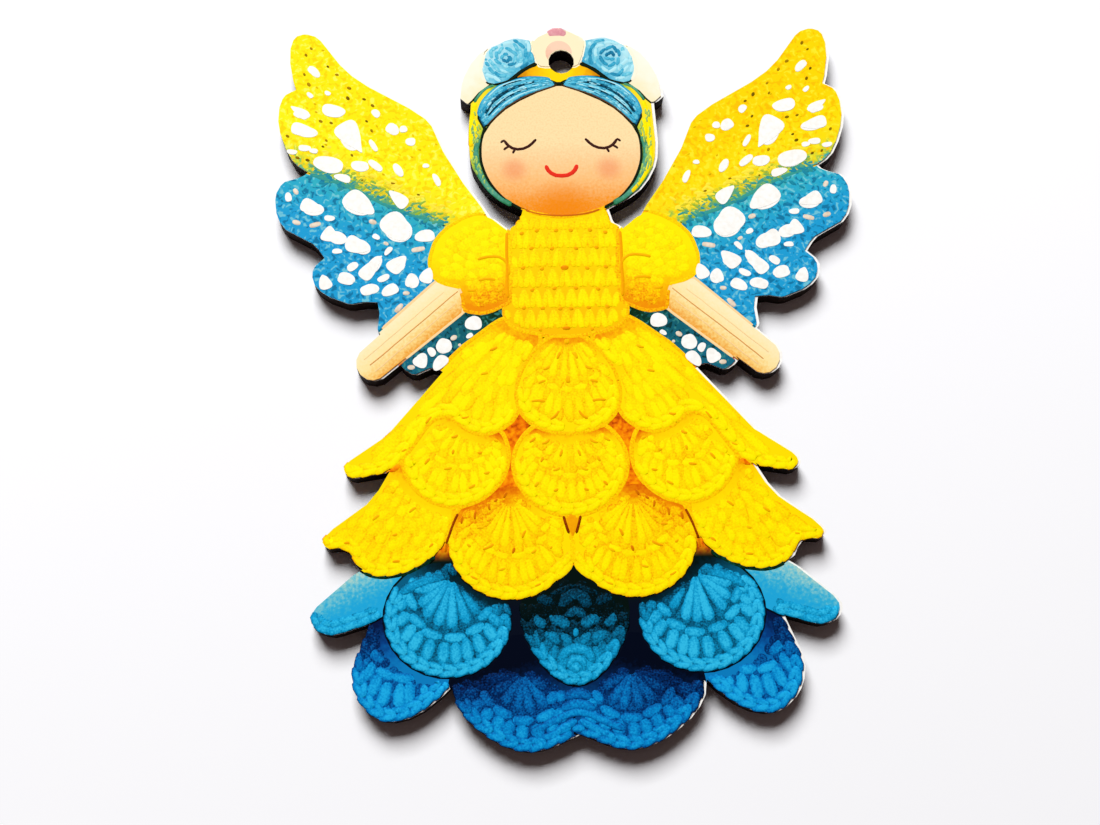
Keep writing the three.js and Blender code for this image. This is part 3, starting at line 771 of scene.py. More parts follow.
# Bodice and sleeves: the same yellow yarn worked in rows of V stitches, with small orange holes between.
# The puffed sleeves are gathered at the seam, and turn amber where they curve under.
STITCH_ROWS = (23.0, 20.0, 17.0, 13.8, 10.6, 7.4)
STITCH_PITCH = 1.75
V_LEG = ((0.95, 1.6), (0.65, 0.2), (0.2, -1.6))
dress("bodice", ink_film("bodice_ink", (0, 6), (0, 20), [(0.0, "#FCC000"), (1.0, "#FFD800")]))
yarn = Yarn("bodice")
for row, y in enumerate(STITCH_ROWS):
    for column in range(-6, 7):
        x = (column + (row % 2) / 2) * STITCH_PITCH - PRINT_SHIFT
        for way in (-1, 1):
            line = curve([(x + way * out, y + up) for out, up in V_LEG])
            yarn.strand(line, 1.35, chance.uniform(0.72, 0.96), 0.42, 0.02, tuck=(0.76, 0.84), room=0.1)
seam(yarn, 0.5)
yarn.make("bodice_stitches", YELLOW_YARN, "yellow_ink")
BODICE_HOLES = (
    (1.1, 21.4), (1.8, 18.5), (3.4, 15.3), (6.2, 15.5), (1.6, 12.2), (0.8, 9.0), (3.4, 9.1), (3.9, 5.7),
    (4.9, 18.6), (4.9, 12.0), (6.2, 9.2), (6.3, 21.0), (4.0, 21.4),
)
BODICE_SIDE = ((8.5, 21.2), (8.6, 18.6), (8.55, 15.5), (8.65, 13.0), (8.5, 10.8))
yarn = Yarn("bodice")
for way in (1, -1):
    for x, y in BODICE_HOLES:
        hole = ((x - 0.35, y + 0.15), (x, y), (x + 0.3, y - 0.2))
        yarn.drawn(way, hole, 0.75, 0.35, 2.8, 0.06, tuck=(2, 2))
    yarn.drawn(way, BODICE_SIDE, 0.55, 0.3, 1.8, 0.045, room=None)
for y, width in ((15.4, 1.0), (5.9, 0.7)):
    yarn.drawn(1, mirrored((0, y + 0.05), (0.6, y)), width, 0.1, 8, 0.08)
yarn.make("bodice_marks", MARK_INK, "amber_ink")

SLEEVE_FILM = ink_film(
    "sleeve_ink", (12, 9.5), (13, 19),
    [(0.0, "#F09000"), (0.35, "#FABC00"), (0.7, "#FEDC00"), (1.0, "#FFEA00")],
)
SLEEVE_LEAN = 92
SLEEVE_SPREAD = 170
SLEEVE_TURN = 12  # below this the sleeve's seam lies in the shade
for field, way in sides("sleeve"):
    dress(field, SLEEVE_FILM)
    yarn = Yarn(field)
    low_at, high_at, hub_at = turned(way, (11, 10), (13, 16.5), (6.4, 14.8))
    light = shading(low_at, high_at, 0.46, 1.05)
    fan(yarn, hub_at, way * SLEEVE_LEAN, SLEEVE_SPREAD, light, LONG, 0.55, 0.022)
    seam(yarn, 0.62, SLEEVE_TURN)
    seam(yarn, 0.42, highest=SLEEVE_TURN)
    yarn.make(field + "_stitches", YELLOW_YARN, "yellow_ink")
    yarn = Yarn(field)
    for places in (
        ((8.3, 14.4), (8.5, 16.1), (9.3, 17.1), (10.6, 17.4), (12.2, 17.2), (13.0, 16.9)),
        ((10.2, 13.6), (11.6, 13.9), (12.9, 13.6)),
        ((12.0, 10.3), (12.6, 10.4), (13.1, 10.2)),
        ((13.2, 12.2), (13.8, 12.0), (14.6, 12.2)),
        ((9.2, 12.6), (9.6, 12.0), (10.2, 11.8)),
    ):
        yarn.drawn(way, places, 0.6, 0.45, 2, 0.05, tuck=(2, 2))
    yarn.make(field + "_marks", MARK_INK, "amber_ink")


# Arms: two rolls of skin-coloured felt that come out of the sleeves and end in round hands.
# They are printed lighter along the top, with fine lines along each roll.
ARM_SLOPE = math.radians(-41)
SHOULDER = (16.8, 11.5)
ARM_REACH = 15.8
ARM_FILM = ink_film(
    "arm_ink", (20.8, 4.1), (24.6, 8.5),
    [(0.0, "#F0A43C"), (0.2, "#F8CC74"), (0.45, "#FDE4A0"), (1.0, "#FEEEC0")],
    grain=0.4, speckle=0.6,
)
SKIN_LINE = yarn_ink("skin_line_print", [(0.0, "#C07830"), (0.7, "#E8A860"), (1.0, "#FCD89C")])
# Each line's offset from the arm's middle, and how lit it is
ARM_LINES = ((-1.4, 0.95), (-0.2, 0.45), (1.1, 1.0))
for field, way in sides("arm"):
    dress(field, ARM_FILM)
    yarn = Yarn(field)
    for offset, light in ARM_LINES:
        line = []
        for along in np.linspace(-1, ARM_REACH + 0.5, 12):
            x = SHOULDER[0] + along * math.cos(ARM_SLOPE) - offset * math.sin(ARM_SLOPE)
            y = SHOULDER[1] + along * math.sin(ARM_SLOPE) + offset * math.cos(ARM_SLOPE)
            line.append((x, y + chance.uniform(-0.06, 0.06)))
        yarn.strand(turned(way, *line), 0.22, light, 1, 0.02)
    seam(yarn, 1.0, height=0.004)
    yarn.make(field + "_lines", SKIN_LINE, "skin_ink")


# Face: a plain doll's face, printed on a skin-coloured film that deepens to orange at the chin.
# Closed eyes, a small mouth and an outline are thin inked lines; the cheeks are soft blushes in the film.
face_film = ink_film(
    "face_ink", (0, 24), (0, 36),
    [(0.0, "#F48C04"), (0.15, "#F4941C"), (0.45, "#F8BE78"), (0.8, "#FAD49C"), (1.0, "#FBDFA8")],
    grain=0.4, speckle=0.4,
)
SKIN_DOT = 0.3 * MM
tree = face_film.node_tree
shader = tree.nodes["Principled BSDF"]
colour = shader.inputs["Base Color"].links[0].from_socket
place = add(tree, "TexCoord").outputs["Object"]
dots = add(tree, "TexNoise", {"Vector": place, "Scale": 1 / SKIN_DOT, "Detail": 2.0}).outputs[0]
share = add(tree, "MapRange", {"Value": dots, "From Min": 0.45, "From Max": 0.7, "To Max": 0.3}).outputs[0]
colour = add(tree, "Mix", {0: share, 6: colour, 7: paint("#F0B47C")}, data_type="RGBA").outputs[2]
# The cheeks' and the chin's blush: its middle, its reach, its share at most and its tint
BLUSHES = (((7.2, 31.4), 2.8, 0.45, "#EE7A4E"), ((0, 24.4), 6.5, 0.7, "#F08400"))
for (x, y), reach, most, tint in BLUSHES:
    blush_at = (x * MM, y * MM, 0)
    away = add(tree, "VectorMath", {0: folded(tree), 1: blush_at}, operation="DISTANCE").outputs["Value"]
    fade = {"Value": away, "From Min": reach * MM, "From Max": 0.15 * reach * MM, "To Max": most}
    share = add(tree, "MapRange", fade, interpolation_type="SMOOTHSTEP").outputs[0]
    colour = add(tree, "Mix", {0: share, 6: colour, 7: paint(tint)}, data_type="RGBA").outputs[2]
tree.links.new(colour, shader.inputs["Base Color"])
dress("face", face_film)

EYE = yarn_ink("eye_line_print", [(0.0, "#1E0A08"), (1.0, "#48201A")])
MOUTH = yarn_ink("mouth_line_print", [(0.0, "#D81E10"), (1.0, "#F5402A")])
OUTLINE = yarn_ink("outline_print", [(0.0, "#040A04"), (0.6, "#10200E"), (1.0, "#5A3A18")])
CHIN = yarn_ink("chin_line_print", [(0.0, "#A84400"), (1.0, "#E07A14")])
JAW = ((11.5, 38.6), (12.1, 36.5), (12.3, 34.6), (12.1, 32.2), (10.9, 29.2), (8.8, 26.6), (6.3, 24.9))
HAIRLINE = ((0.3, 45.5), (2.4, 44.7), (4.9, 43.7), (8, 41.9), (10.2, 39.9), (11.2, 38.8))
eyes, mouth, outline, chin = Yarn("face"), Yarn("face"), Yarn("face"), Yarn("face")
for way in (1, -1):
    for places, width in (
        (((3.7, 36.4), (4.9, 35.2), (6.3, 34.7), (7.6, 35.0), (8.3, 35.7), (8.6, 36.2)), 0.55),
        (((8.4, 36.0), (8.75, 36.2), (9.2, 35.8)), 0.45),
        (((7.9, 35.2), (8.4, 34.95), (8.75, 34.6)), 0.45),
        (((6.9, 34.8), (7.2, 34.4), (7.35, 34.0)), 0.45),
    ):
        eyes.drawn(way, places, width, 0.6)
    outline.drawn(way, JAW, 0.5, 0.5, room=None)
    outline.drawn(way, HAIRLINE, 0.26, 1.0, room=None)
mouth.drawn(1, mirrored((0, 30.25), (1.1, 30.4), (2.0, 31.1), (2.4, 32.1)), 0.78, 0.4)
chin.drawn(1, mirrored((0, 23.75), (3.4, 24.05), (5.6, 24.7)), 0.38, 0.6, room=None)
eyes.make("eye_lines", EYE, "key_ink")
mouth.make("mouth_line", MOUTH, "skin_ink")
outline.make("face_outline", OUTLINE, "key_ink")
chin.make("chin_line", CHIN, "amber_ink")


# Hair: a narrow strip of yellow yarn down each side of the face, from the headband to the neck.
# It is printed green where it tucks under, with short green flecks between its strands.
HAIR_FILM = ink_film(
    "hair_ink", (12, 34), (14.6, 34.6),
    [(0.0, "#3C8A50"), (0.35, "#B4C838"), (0.6, "#F4DC1C"), (1.0, "#FFE22A")],
    grain=0.6, speckle=0.5,
)
GREEN_YARN = yarn_ink(
    "green_yarn_print",
    [(0.0, "#0A2E1A"), (0.5, "#2E7D52"), (0.8, "#54A088"), (1.0, "#A8C860")],
    speckle=0.5,
)


def stroke(middle, half, steps=3):
    """Places along a short straight stroke, from its middle and half of its length."""
    return [middle + half * share for share in np.linspace(-1, 1, steps)]


for field, way in sides("hair"):
    dress(field, HAIR_FILM)
    yarn = Yarn(field)
    for places, width in (
        (((12.3, 36.6), (12.95, 34.9), (12.75, 32), (11.6, 29.1), (9.6, 26.9), (7.6, 25.6)), 1.0),
        (((10.0, 45.5), (11.4, 44.9), (12.6, 43.5), (13.1, 42.6)), 0.5),
    ):
        yarn.drawn(way, places, width, 0.8, 0.4, 0.04, tuck=(0.8, 0.6), room=None)
    yarn.make(field + "_green_strands", GREEN_YARN, "teal_ink")
    yarn = Yarn(field)
    for places, width in (
        (((12.9, 42.6), (13.5, 40), (13.7, 36.4), (13.6, 32.8), (12.4, 29.9), (10.4, 27.4)), 0.8),
        (((12.2, 41.6), (12.9, 39.6), (13.0, 37.6), (12.7, 36.4)), 0.8),
    ):
        yarn.drawn(way, places, width, 0.93, 0.7, 0.04, tuck=(0.9, 0.7), room=0.3)
    yarn.make(field + "_yellow_strands", YELLOW_YARN, "yellow_ink")
    yarn = Yarn(field)
    for _ in range(110):
        middle = np.array([chance.uniform(11.4, 13.9), chance.uniform(27, 41)])
        half = np.array([chance.uniform(-0.2, 0.2), chance.uniform(0.25, 0.55)])
        yarn.strand(turned(way, *stroke(middle, half)), 0.32, chance.uniform(0.85, 1.4), 1, 0.085)
    yarn.make(field + "_flecks", GREEN_YARN, "teal_ink")


# Headband: two crossed bundles of blue yarn that meet in a point over the brow.
# Its strands, thin highlights, short fibres and dark gaps are printed over a deep blue film.
HEADBAND_FILM = ink_film(
    "headband_ink", (1, 45.5), (10, 41.5),
    [(0.0, "#0E5A70"), (0.5, "#0B4A78"), (1.0, "#0E6288")],
    grain=0.5, speckle=0.8,
)
PALE_YARN = yarn_ink(
    "pale_blue_yarn_print",
    [(0.0, "#06303E"), (0.3, "#1878A0"), (0.55, "#34A4C8"), (0.8, "#6CC8DE"), (1.0, "#B0E6F0")],
    speckle=0.55,
)
BAND_EDGES = (
    ((0.9, 45.9), (3.8, 46.8), (7.0, 46.4), (9.9, 45.1), (12.0, 42.9), (12.8, 40.0)),
    ((0.7, 45.4), (2.8, 44.7), (5.6, 43.6), (8.4, 41.7), (10.4, 39.7), (11.4, 38.6)),
)
for field, way in sides("headband"):
    dress(field, HEADBAND_FILM)
    yarn = Yarn(field)
    for places, width, light in (
        (((1.2, 46.2), (4, 46.45), (6.8, 45.9), (9.5, 44.7), (11.5, 42.6), (12.25, 40.2)), 1.4, 0.72),
        (((5.4, 45.9), (7.4, 45.5), (9.2, 44.9)), 0.8, 0.66),
        (((0.9, 45.85), (3.5, 45.5), (6.5, 44.55), (9.3, 42.8), (11.2, 40.6), (11.9, 39.4)), 1.1, 0.86),
        (((0.7, 45.55), (3.2, 44.85), (6, 43.8), (8.8, 41.95), (10.8, 39.9), (11.6, 38.9)), 1.0, 0.8),
    ):
        yarn.drawn(way, places, width, light, 0.25, 0.05, (0.8, 1), (0.8, 0.8), None)
    for places in (
        ((4.2, 46.5), (6.8, 46.15), (9.2, 45.2), (11.0, 43.5)),
        ((3.0, 45.5), (5.6, 44.8), (8.2, 43.5), (10.3, 41.6)),
        ((3.2, 44.85), (5.8, 43.95), (8.4, 42.35), (10.5, 40.3)),
    ):
        yarn.drawn(way, places, 0.3, 1.1, 1, 0.075, room=None)
    yarn.make(field + "_strands", PALE_YARN, "sky_ink")
    yarn = Yarn(field)
    edges = [curve(turned(way, *places)) for places in BAND_EDGES]
    for _ in range(150):
        along, across = chance.uniform(0.02, 0.98), chance.uniform(0, 1)
        upper, lower = (edge[int(along * (len(edge) - 3)):][:3] for edge in edges)
        fibre = upper * across + lower * (1 - across)
        yarn.strand(fibre, 0.34, chance.uniform(0.4, 1.0), 1, 0.09, room=0.2)
    for places, width in (
        (((3.6, 46.0), (5.4, 45.6), (7.8, 44.6), (10.0, 42.8), (11.5, 40.6)), 0.5),
        (((4.0, 45.2), (7.0, 44.05), (9.3, 42.35), (11.1, 40.3)), 0.34),
        (((5.6, 46.3), (7.2, 45.9), (8.8, 45.2)), 0.3),
    ):
        yarn.drawn(way, places, width, 0.05, 1, 0.1, room=None)
    yarn.make(field + "_fibres", PALE_YARN, "sky_ink")


# Flowers and crown: pale blue yarn rosettes and cream ones, over the golden crown of the cap.
# The middle flower has a pink tip and a peach cup above the hanging hole. A green-black wedge
# parts the blue flowers from the headband.
CREAM_FILM = ink_film(
    "cream_flower_ink", (11, 46), (15, 50),
    [(0.0, "#FAECC4"), (0.4, "#FDF5DE"), (1.0, "#FEF8EA")],
    grain=1.4, speckle=0.8,
)
BLUE_FLOWER_FILM = ink_film(
    "blue_flower_ink", (3.5, 48), (9, 53),
    [(0.0, "#2C90B8"), (0.35, "#58B6D4"), (0.65, "#8CD2E4"), (1.0, "#B8E6F0")],
    grain=0.9, speckle=1.0,
)
CROWN_FILM = ink_film(
    "crown_ink", (1.5, 47.5), (6.2, 47),
    [(0.0, "#FFD800"), (0.5, "#F8B800"), (1.0, "#C87800")],
    grain=0.7, speckle=0.5,
)
dress("cap_crown", CROWN_FILM)
dress("flower_centre", CREAM_FILM)
CREAM_YARN = yarn_ink("cream_yarn_print", [(0.0, "#F2E0B0"), (1.0, "#FEF8E4")])
for field, _ in sides("flower_cream"):
    dress(field, CREAM_FILM)
    yarn = Yarn(field)
    seam(yarn, 0.8, 45.9)
    yarn.make(field + "_edge", CREAM_YARN, "cream_ink")

# A rosette's rings of stitches: their radius, how many they are and how lit
ROSETTE = (8.1, 50.2)
ROSETTE_RINGS = (
    (5.6, 26, 1.0), (4.8, 23, 0.82), (4.0, 19, 1.05), (3.2, 16, 0.78),
    (2.4, 12, 1.05), (1.5, 8, 0.68), (0.6, 5, 0.45),
)
SHADED_TURN = math.radians(215)
for field, way in sides("flower_blue"):
    dress(field, BLUE_FLOWER_FILM)
    yarn = Yarn(field)
    for radius, count, tone in ROSETTE_RINGS:
        for i in range(count):
            turn = 2 * math.pi * (i + chance.uniform(0, 0.5)) / count
            sweep = turn + np.linspace(-0.5, 0.5, 7) * 2.6 * math.pi / count
            away = radius + chance.uniform(-0.4, 0.4) * np.linspace(-1, 1, 7)
            places = zip(ROSETTE[0] + away * np.cos(sweep), ROSETTE[1] + away * np.sin(sweep))
            shade = 0.06 * radius * max(0, math.cos(turn - SHADED_TURN))
            light = tone + chance.uniform(-0.28, 0.28) - shade
            yarn.strand(turned(way, *places), 0.7, light, 0.7, 0.02, tuck=(0.8, 0.9), room=0.2)
    yarn.make(field + "_rosette", PALE_YARN, "sky_ink")

# Dark wedges lie under the blue flowers, and a small one over the brow
wedges, tip, cup = Yarn("flower_centre"), Yarn("flower_centre"), Yarn("flower_centre")
WEDGE = ((3.3, 49.0), (4.6, 48.5), (5.9, 47.6), (7.2, 46.5), (8.6, 45.9), (10.2, 45.6))
for way in (1, -1):
    wedges.drawn(way, WEDGE, 0.8, 0.4, taper=(1, 0.4), room=None)
wedges.drawn(1, mirrored((0, 45.7), (0.8, 45.5)), 0.6, 0.4, room=None)
wedges.make("flower_wedges", OUTLINE, "key_ink")
TIP_INK = yarn_ink("pink_tip_print", [(0.0, "#C8707E"), (0.5, "#DE98A0"), (1.0, "#F2C4C0")], speckle=0.7)
TIP = ((-1.6, 54.0), (-0.7, 54.4), (0, 54.5), (0.7, 54.4), (1.4, 54.0))
tip.strand(turned(1, *TIP), 1.5, 0.5, 1, 0.02, room=0)
tip.make("flower_tip", TIP_INK, "cream_ink")
PEACH_INK = yarn_ink("peach_print", [(0.4, "#E4A888"), (1.0, "#F8D0B4")], grain=1.4, speckle=1.0)
# The cup's lower edge follows the hanging hole, just outside it
HOLE = (PRINT_SHIFT, 49.36)
HOLE_RADIUS = 2.1
CUP = (0.1, 50.9)
CUP_RADIUS = 2.05
dome = np.radians(np.linspace(-8, 213, 25))
rim = np.radians(np.linspace(168, 37, 17))
cup.blot(turned(
    1, *zip(CUP[0] + CUP_RADIUS * np.cos(dome), CUP[1] + CUP_RADIUS * np.sin(dome)),
    *zip(HOLE[0] + HOLE_RADIUS * np.cos(rim), HOLE[1] + HOLE_RADIUS * np.sin(rim)),
), 0.02)
cup.make("flower_cup", PEACH_INK, "cream_ink")


# Wings: printed lace, gold above and teal-blue below, with the white coat in its cells.
# Dots and flecks break the colours up, and mix them where gold meets teal.
FLECK = 0.8 * MM


def lace_film(name, start, end, stops, dark, pale):
    """An ink film broken up by small flecks, dark in the hollows of the yarn and pale on its ridges."""
    made = ink_film(name, start, end, stops, grain=0.9, speckle=0.75)
    tree = made.node_tree
    shader = tree.nodes["Principled BSDF"]
    place = add(tree, "TexCoord").outputs["Object"]
    waves = {"Vector": place, "Scale": 1 / FLECK, "Detail": 1.0, "Distortion": 0.6}
    yarn = add(tree, "TexNoise", waves).outputs[0]
    colour = shader.inputs["Base Color"].links[0].from_socket
    for fleck, low, high, most in ((dark, 0.43, 0.36, 0.8), (pale, 0.58, 0.66, 0.7)):
        inputs = {"Value": yarn, "From Min": low, "From Max": high, "To Max": most}
        share = add(tree, "MapRange", inputs).outputs[0]
        colour = add(tree, "Mix", {0: share, 6: colour, 7: paint(fleck)}, data_type="RGBA").outputs[2]
    tree.links.new(colour, shader.inputs["Base Color"])
    return made


UPPER_RUN = ((28.84, 25.99), (24.2, 35.95))
GOLD_LACE = lace_film(
    "right_upper_wing_ink", *UPPER_RUN,
    [(0.0, "#3AA4AC"), (0.14, "#90C04A"), (0.3, "#F0DC18"), (0.6, "#FFDE06"), (1.0, "#FFD600")],
    "#F8BC00", "#FFEE30",
)
LEMON_LACE = lace_film(
    "left_upper_wing_ink", *UPPER_RUN,
    [(0.0, "#3AA4AC"), (0.14, "#90C04A"), (0.3, "#F2E41C"), (0.6, "#FFF214"), (1.0, "#FFEA08")],
    "#FCD000", "#FFFA60",
)
LOWER_LACE = lace_film(
    "lower_wing_ink", (26.74, 30.5), (31.8, 19.6),
    [(0.0, "#A8BE4A"), (0.15, "#58B4A8"), (0.35, "#30AEC0"), (0.65, "#26A6CC"), (1.0, "#1E9CD2")],
    "#0E6690", "#80CED8",
)
FRINGE_LACE = lace_film(
    "wing_fringe_ink", (9.4, 8.6), (19, 3),
    [(0.0, "#062A10"), (0.25, "#0A4030"), (0.5, "#105A66"), (1.0, "#14647C")],
    "#04261E", "#3C8C84",
)
# Each wing's films and the cells of its lace: the middle, length, width and slope of each rounded hole,
# and how far its far end narrows
CELLS = {
    "wing_upper": ((GOLD_LACE, LEMON_LACE), [
        (31.9, 37.1, 5.8, 2.9, 238, 0.75), (35.5, 32.7, 4.6, 2.5, 15, 0.3), (39.2, 38.4, 4.0, 1.8, 195, 0.4),
        (34.6, 41.5, 3.6, 2.0, 192, 0.3), (39.8, 41.4, 3.2, 1.3, 35, 0.5), (30.6, 32.3, 2.6, 1.7, 10, 0),
        (28.3, 32.4, 2.6, 1.1, 40, 0.2), (37.8, 48.2, 2.2, 1.1, 40, 0.1), (25.7, 38.4, 2.0, 1.7, 30, 0),
        (24.0, 38.3, 1.2, 1.1, 0, 0), (22.9, 36.2, 1.5, 1.3, 0, 0), (28.2, 41.0, 1.5, 1.1, 50, 0),
        (28.6, 35.7, 2.2, 0.8, 60, 0.2), (24.8, 31.6, 2.4, 1.0, 60, 0.2), (19.0, 29.9, 2.2, 0.9, 65, 0.2),
        (20.6, 32.2, 1.0, 0.7, 0, 0), (38.3, 44.2, 1.2, 0.7, 45, 0), (35.6, 44.5, 1.0, 0.7, 30, 0),
        (39.0, 35.4, 1.9, 1.0, 5, 0), (40.9, 34.8, 1.6, 0.8, 10, 0), (37.6, 34.9, 1.3, 0.8, 10, 0),
        (33.2, 30.4, 2.6, 1.2, 18, 0.2),
    ]),
    "wing_lower": ((LOWER_LACE, LOWER_LACE), [
        (25.0, 22.2, 5.0, 3.7, 230, 0.5), (30.6, 26.2, 5.2, 3.0, 215, 0.4), (30.9, 19.4, 3.7, 2.3, 205, 0.6),
        (28.8, 15.9, 4.6, 1.8, 130, 0.6), (37.8, 25.8, 3.5, 1.9, 200, 0.5), (34.9, 21.1, 2.7, 2.1, 215, 0.6),
        (24.9, 16.4, 3.3, 2.2, 138, 0.4), (32.6, 14.1, 2.4, 1.6, 15, 0.1), (26.0, 12.3, 2.6, 1.7, -25, 0.1),
        (29.3, 12.4, 2.3, 1.6, -15, 0.1), (22.9, 13.8, 2.2, 1.6, -60, 0.1), (35.7, 13.8, 2.4, 1.7, 70, 0.7),
        (20.8, 20.8, 3.0, 1.9, -5, 0.1), (20.5, 14.6, 2.5, 1.8, 110, 0.7), (24.8, 26.9, 3.6, 1.8, 45, 0.5),
        (41.3, 27.4, 1.5, 1.0, 80, 0), (35.1, 23.9, 1.6, 0.9, 5, 0), (33.9, 18.6, 1.5, 0.8, 0, 0),
        (28.1, 20.8, 1.2, 0.8, 30, 0), (26.3, 18.5, 1.6, 0.8, -50, 0.2), (31.6, 16.1, 1.8, 1.2, -35, 0.1),
        (27.0, 14.2, 1.9, 1.0, -25, 0.1),
    ]),
    "wing_fringe": ((FRINGE_LACE, FRINGE_LACE), [
        (13.7, 6.9, 2.5, 2.1, 0, 0), (14.3, 5.0, 1.1, 0.7, -30, 0), (18.1, 3.5, 2.3, 2.1, 30, 0),
        (19.9, 2.6, 1.5, 1.1, 60, 0), (21.4, 1.3, 2.3, 1.8, 100, 0.1), (18.7, 0.9, 2.7, 1.7, -48, 0.2),
    ]),
}
# Smaller cells that the ink half covers, with their lengths and slopes
PEACH_SPOTS = {
    "wing_lower": [
        (21.8, 18.7, 2.2, -10), (37.2, 22.9, 1.9, -15), (23.6, 11.8, 1.1, 0), (24.7, 9.5, 1.8, -50),
        (40.2, 28.3, 1.2, 60), (40.0, 23.3, 1.4, 20), (28.6, 23.2, 1.3, 20), (26.6, 19.7, 0.9, 30),
    ],
    "wing_fringe": [(16.7, 4.7, 1.3, -30), (22.9, 0.3, 1.2, 0), (15.6, 3.6, 0.9, 0)],
}
PEACH_SPOT_INK = yarn_ink(
    "peach_spot_print", [(0.0, "#9A8060"), (0.5, "#D0B898"), (1.0, "#F4E8D8")], grain=0.6, speckle=0.8,
)


def toward(turn):
    """A unit step at an angle."""
    return np.array([math.cos(turn), math.sin(turn)])


def oval(x, y, length, width, slope, narrow):
    """The outline of one rounded cell, blunter than an ellipse and a little uneven."""
    turn = np.linspace(0, 2 * math.pi, 28, endpoint=False)
    uneven = 0.5 * (1 + 0.05 * np.sin(3 * turn + chance.uniform(0, 6)))
    blunt = 0.85
    along = uneven * length * np.sign(np.cos(turn)) * np.abs(np.cos(turn)) ** blunt
    across = uneven * width * np.sign(np.sin(turn)) * np.abs(np.sin(turn)) ** blunt
    across = across * (1 - narrow * np.cos(turn))
    lean = math.radians(slope)
    xs = x + along * math.cos(lean) - across * math.sin(lean)
    ys = y + along * math.sin(lean) + across * math.cos(lean)
    return np.stack([xs, ys], 1)


# The cells show the coat, which is brought up through the ink here so that they cast no shade
COAT_DEPTH = (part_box("wing_upper_right")[1].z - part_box("white_coat")[1].z) / MM + 0.01
for name, (films, cells) in CELLS.items():
    outlines = [oval(*cell) for cell in cells]
    spots = PEACH_SPOTS.get(name, ())
    for (field, way), film in zip(sides(name), films):
        dress(field, film)
        white, peach = Yarn(field), Yarn(field)
        for loop in white.loops[1:]:
            white.blot(curve(loop[:-1], closed=True)[::-1], 0.03, COAT_DEPTH)
        for outline in outlines:
            white.blot(turned(way, *outline)[::way], chance.uniform(0.035, 0.055))
        white.make(field + "_cells", primer, "white_base_coat")
        for x, y, length, slope in spots:
            half = toward(math.radians(slope)) * length / 2
            places = stroke(np.array([x, y]), half, 9)
            peach.strand(turned(way, *places), min(0.9, 0.7 * length), 0.8, 0.5, 0.03, room=0.2)
        if spots:
            peach.make(field + "_spots", PEACH_SPOT_INK, "cream_ink")

# Brown dots and finer specks lie over the gold, and dashes in both colours where gold meets teal
DOTS = [
    (38.2, 52.1), (39, 51), (35.6, 49), (39.2, 47.7), (34.2, 47.6), (32.3, 45.3), (38.5, 46),
    (32.5, 43.6), (30, 43.4), (28.7, 42.3), (29.6, 39.7), (28.8, 38.1), (35, 39.5), (36.6, 39.8),
    (36.8, 37.4), (35.7, 36.6), (36.2, 35.6), (31.8, 34.1), (30.1, 29.9), (41.6, 37.4), (38.5, 33.4),
    (40, 33.8), (21.7, 27.4), (25.6, 29.4),
]
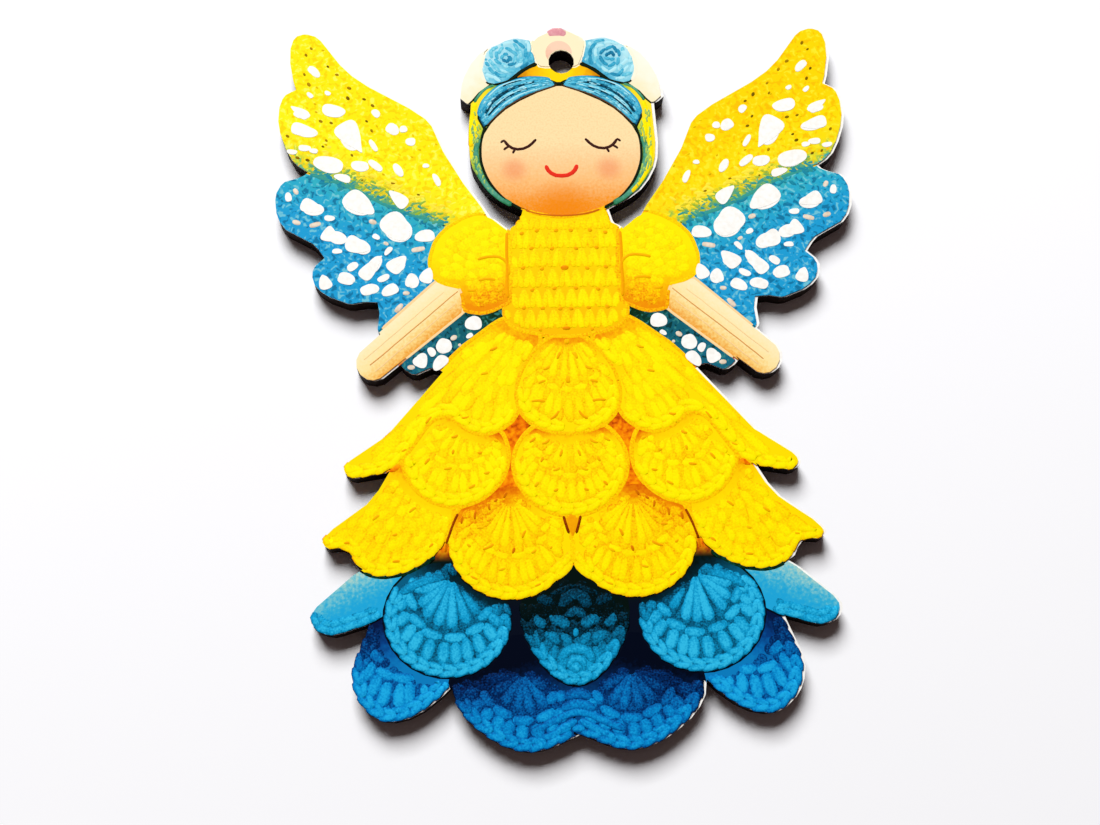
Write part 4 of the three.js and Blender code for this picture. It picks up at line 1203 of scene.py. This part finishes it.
# The line where gold meets teal: a place on it, its direction and the way up from it
BORDER = np.array([28, 27.8])
BORDER_WAY = np.array([0.907, 0.42])
BORDER_RISE = np.array([-BORDER_WAY[1], BORDER_WAY[0]])
DOT_INK = yarn_ink("brown_dot_print", [(0.0, "#6A5200"), (0.5, "#B88C00"), (1.0, "#F8D400")], speckle=0.4)
DASH_INK = yarn_ink(
    "border_dash_print",
    [(0.0, "#1C86A0"), (0.35, "#3C9C8C"), (0.6, "#8CB43C"), (0.8, "#E4CC1E"), (1.0, "#FFE640")],
)
for field, way in sides("wing_upper"):
    dots, dashes = Yarn(field), Yarn(field)
    specks = [(x, y, chance.uniform(0.4, 0.65), chance.uniform(0, 0.45)) for x, y in DOTS]
    for _ in range(45):
        specks.append((chance.uniform(17, 42), chance.uniform(29, 53), 0.4, chance.uniform(0.7, 1)))
    for x, y, width, light in specks:
        places = stroke(np.array([x, y]), 0.7 * width * toward(chance.uniform(0.2, 1.2)))
        dots.strand(turned(way, *places), width, light, 1.6, 0.02)
    for _ in range(300):
        off = chance.gauss(0.4, 1.2)
        middle = BORDER + BORDER_WAY * chance.uniform(-11.2, 11) + BORDER_RISE * off
        turn = chance.uniform(-0.9, 0.9)
        places = stroke(middle, chance.uniform(0.4, 0.8) * toward(turn))
        light = 0.45 + 0.3 * off + chance.uniform(-0.3, 0.3)
        dashes.strand(turned(way, *places), chance.uniform(0.4, 0.7), light, 1, 0.02, room=None)
    join = Yarn(field.replace("upper", "lower"))
    seam(join, 0.3, 23.4)
    join.make(field + "_join", DASH_INK, "teal_ink")
    dots.make(field + "_dots", DOT_INK, "amber_ink")
    dashes.make(field + "_border", DASH_INK, "teal_ink")


# Floor and light: white paper under one large soft lamp beyond the head, with a faint warm sky all round.
# The lamp stands low enough for the thin board to throw a short soft shadow towards the hem.
FLOOR = 0.6
paper, _, shader = surface("white_paper", 0.9)
shader.inputs["Base Color"].default_value = paint("#FBFCFF")
corners = [(-FLOOR, -FLOOR, 0), (FLOOR, -FLOOR, 0), (FLOOR, FLOOR, 0), (-FLOOR, FLOOR, 0)]
floor_mesh = bpy.data.meshes.new("floor")
floor_mesh.from_pydata(corners, [], [(0, 1, 2, 3)])
floor_mesh.materials.append(paper)
floor = bpy.data.objects.new("floor", floor_mesh)
bpy.context.scene.collection.objects.link(floor)

lamp = bpy.data.objects.new("window", bpy.data.lights.new("window", "AREA"))
lamp.data.shape = "RECTANGLE"
lamp.data.size = 0.75
lamp.data.size_y = 0.8
lamp.data.energy = 30.9
lamp.location = (-0.25, 0.95, 1.11)
lamp.rotation_euler = (-lamp.location).to_track_quat("-Z", "Y").to_euler()
bpy.context.scene.collection.objects.link(lamp)
world = bpy.data.worlds.new("sky")
world.use_nodes = True
world.node_tree.nodes["Background"].inputs["Color"].default_value = paint("#FFD8D0")
world.node_tree.nodes["Background"].inputs["Strength"].default_value = 0.06
bpy.context.scene.world = world
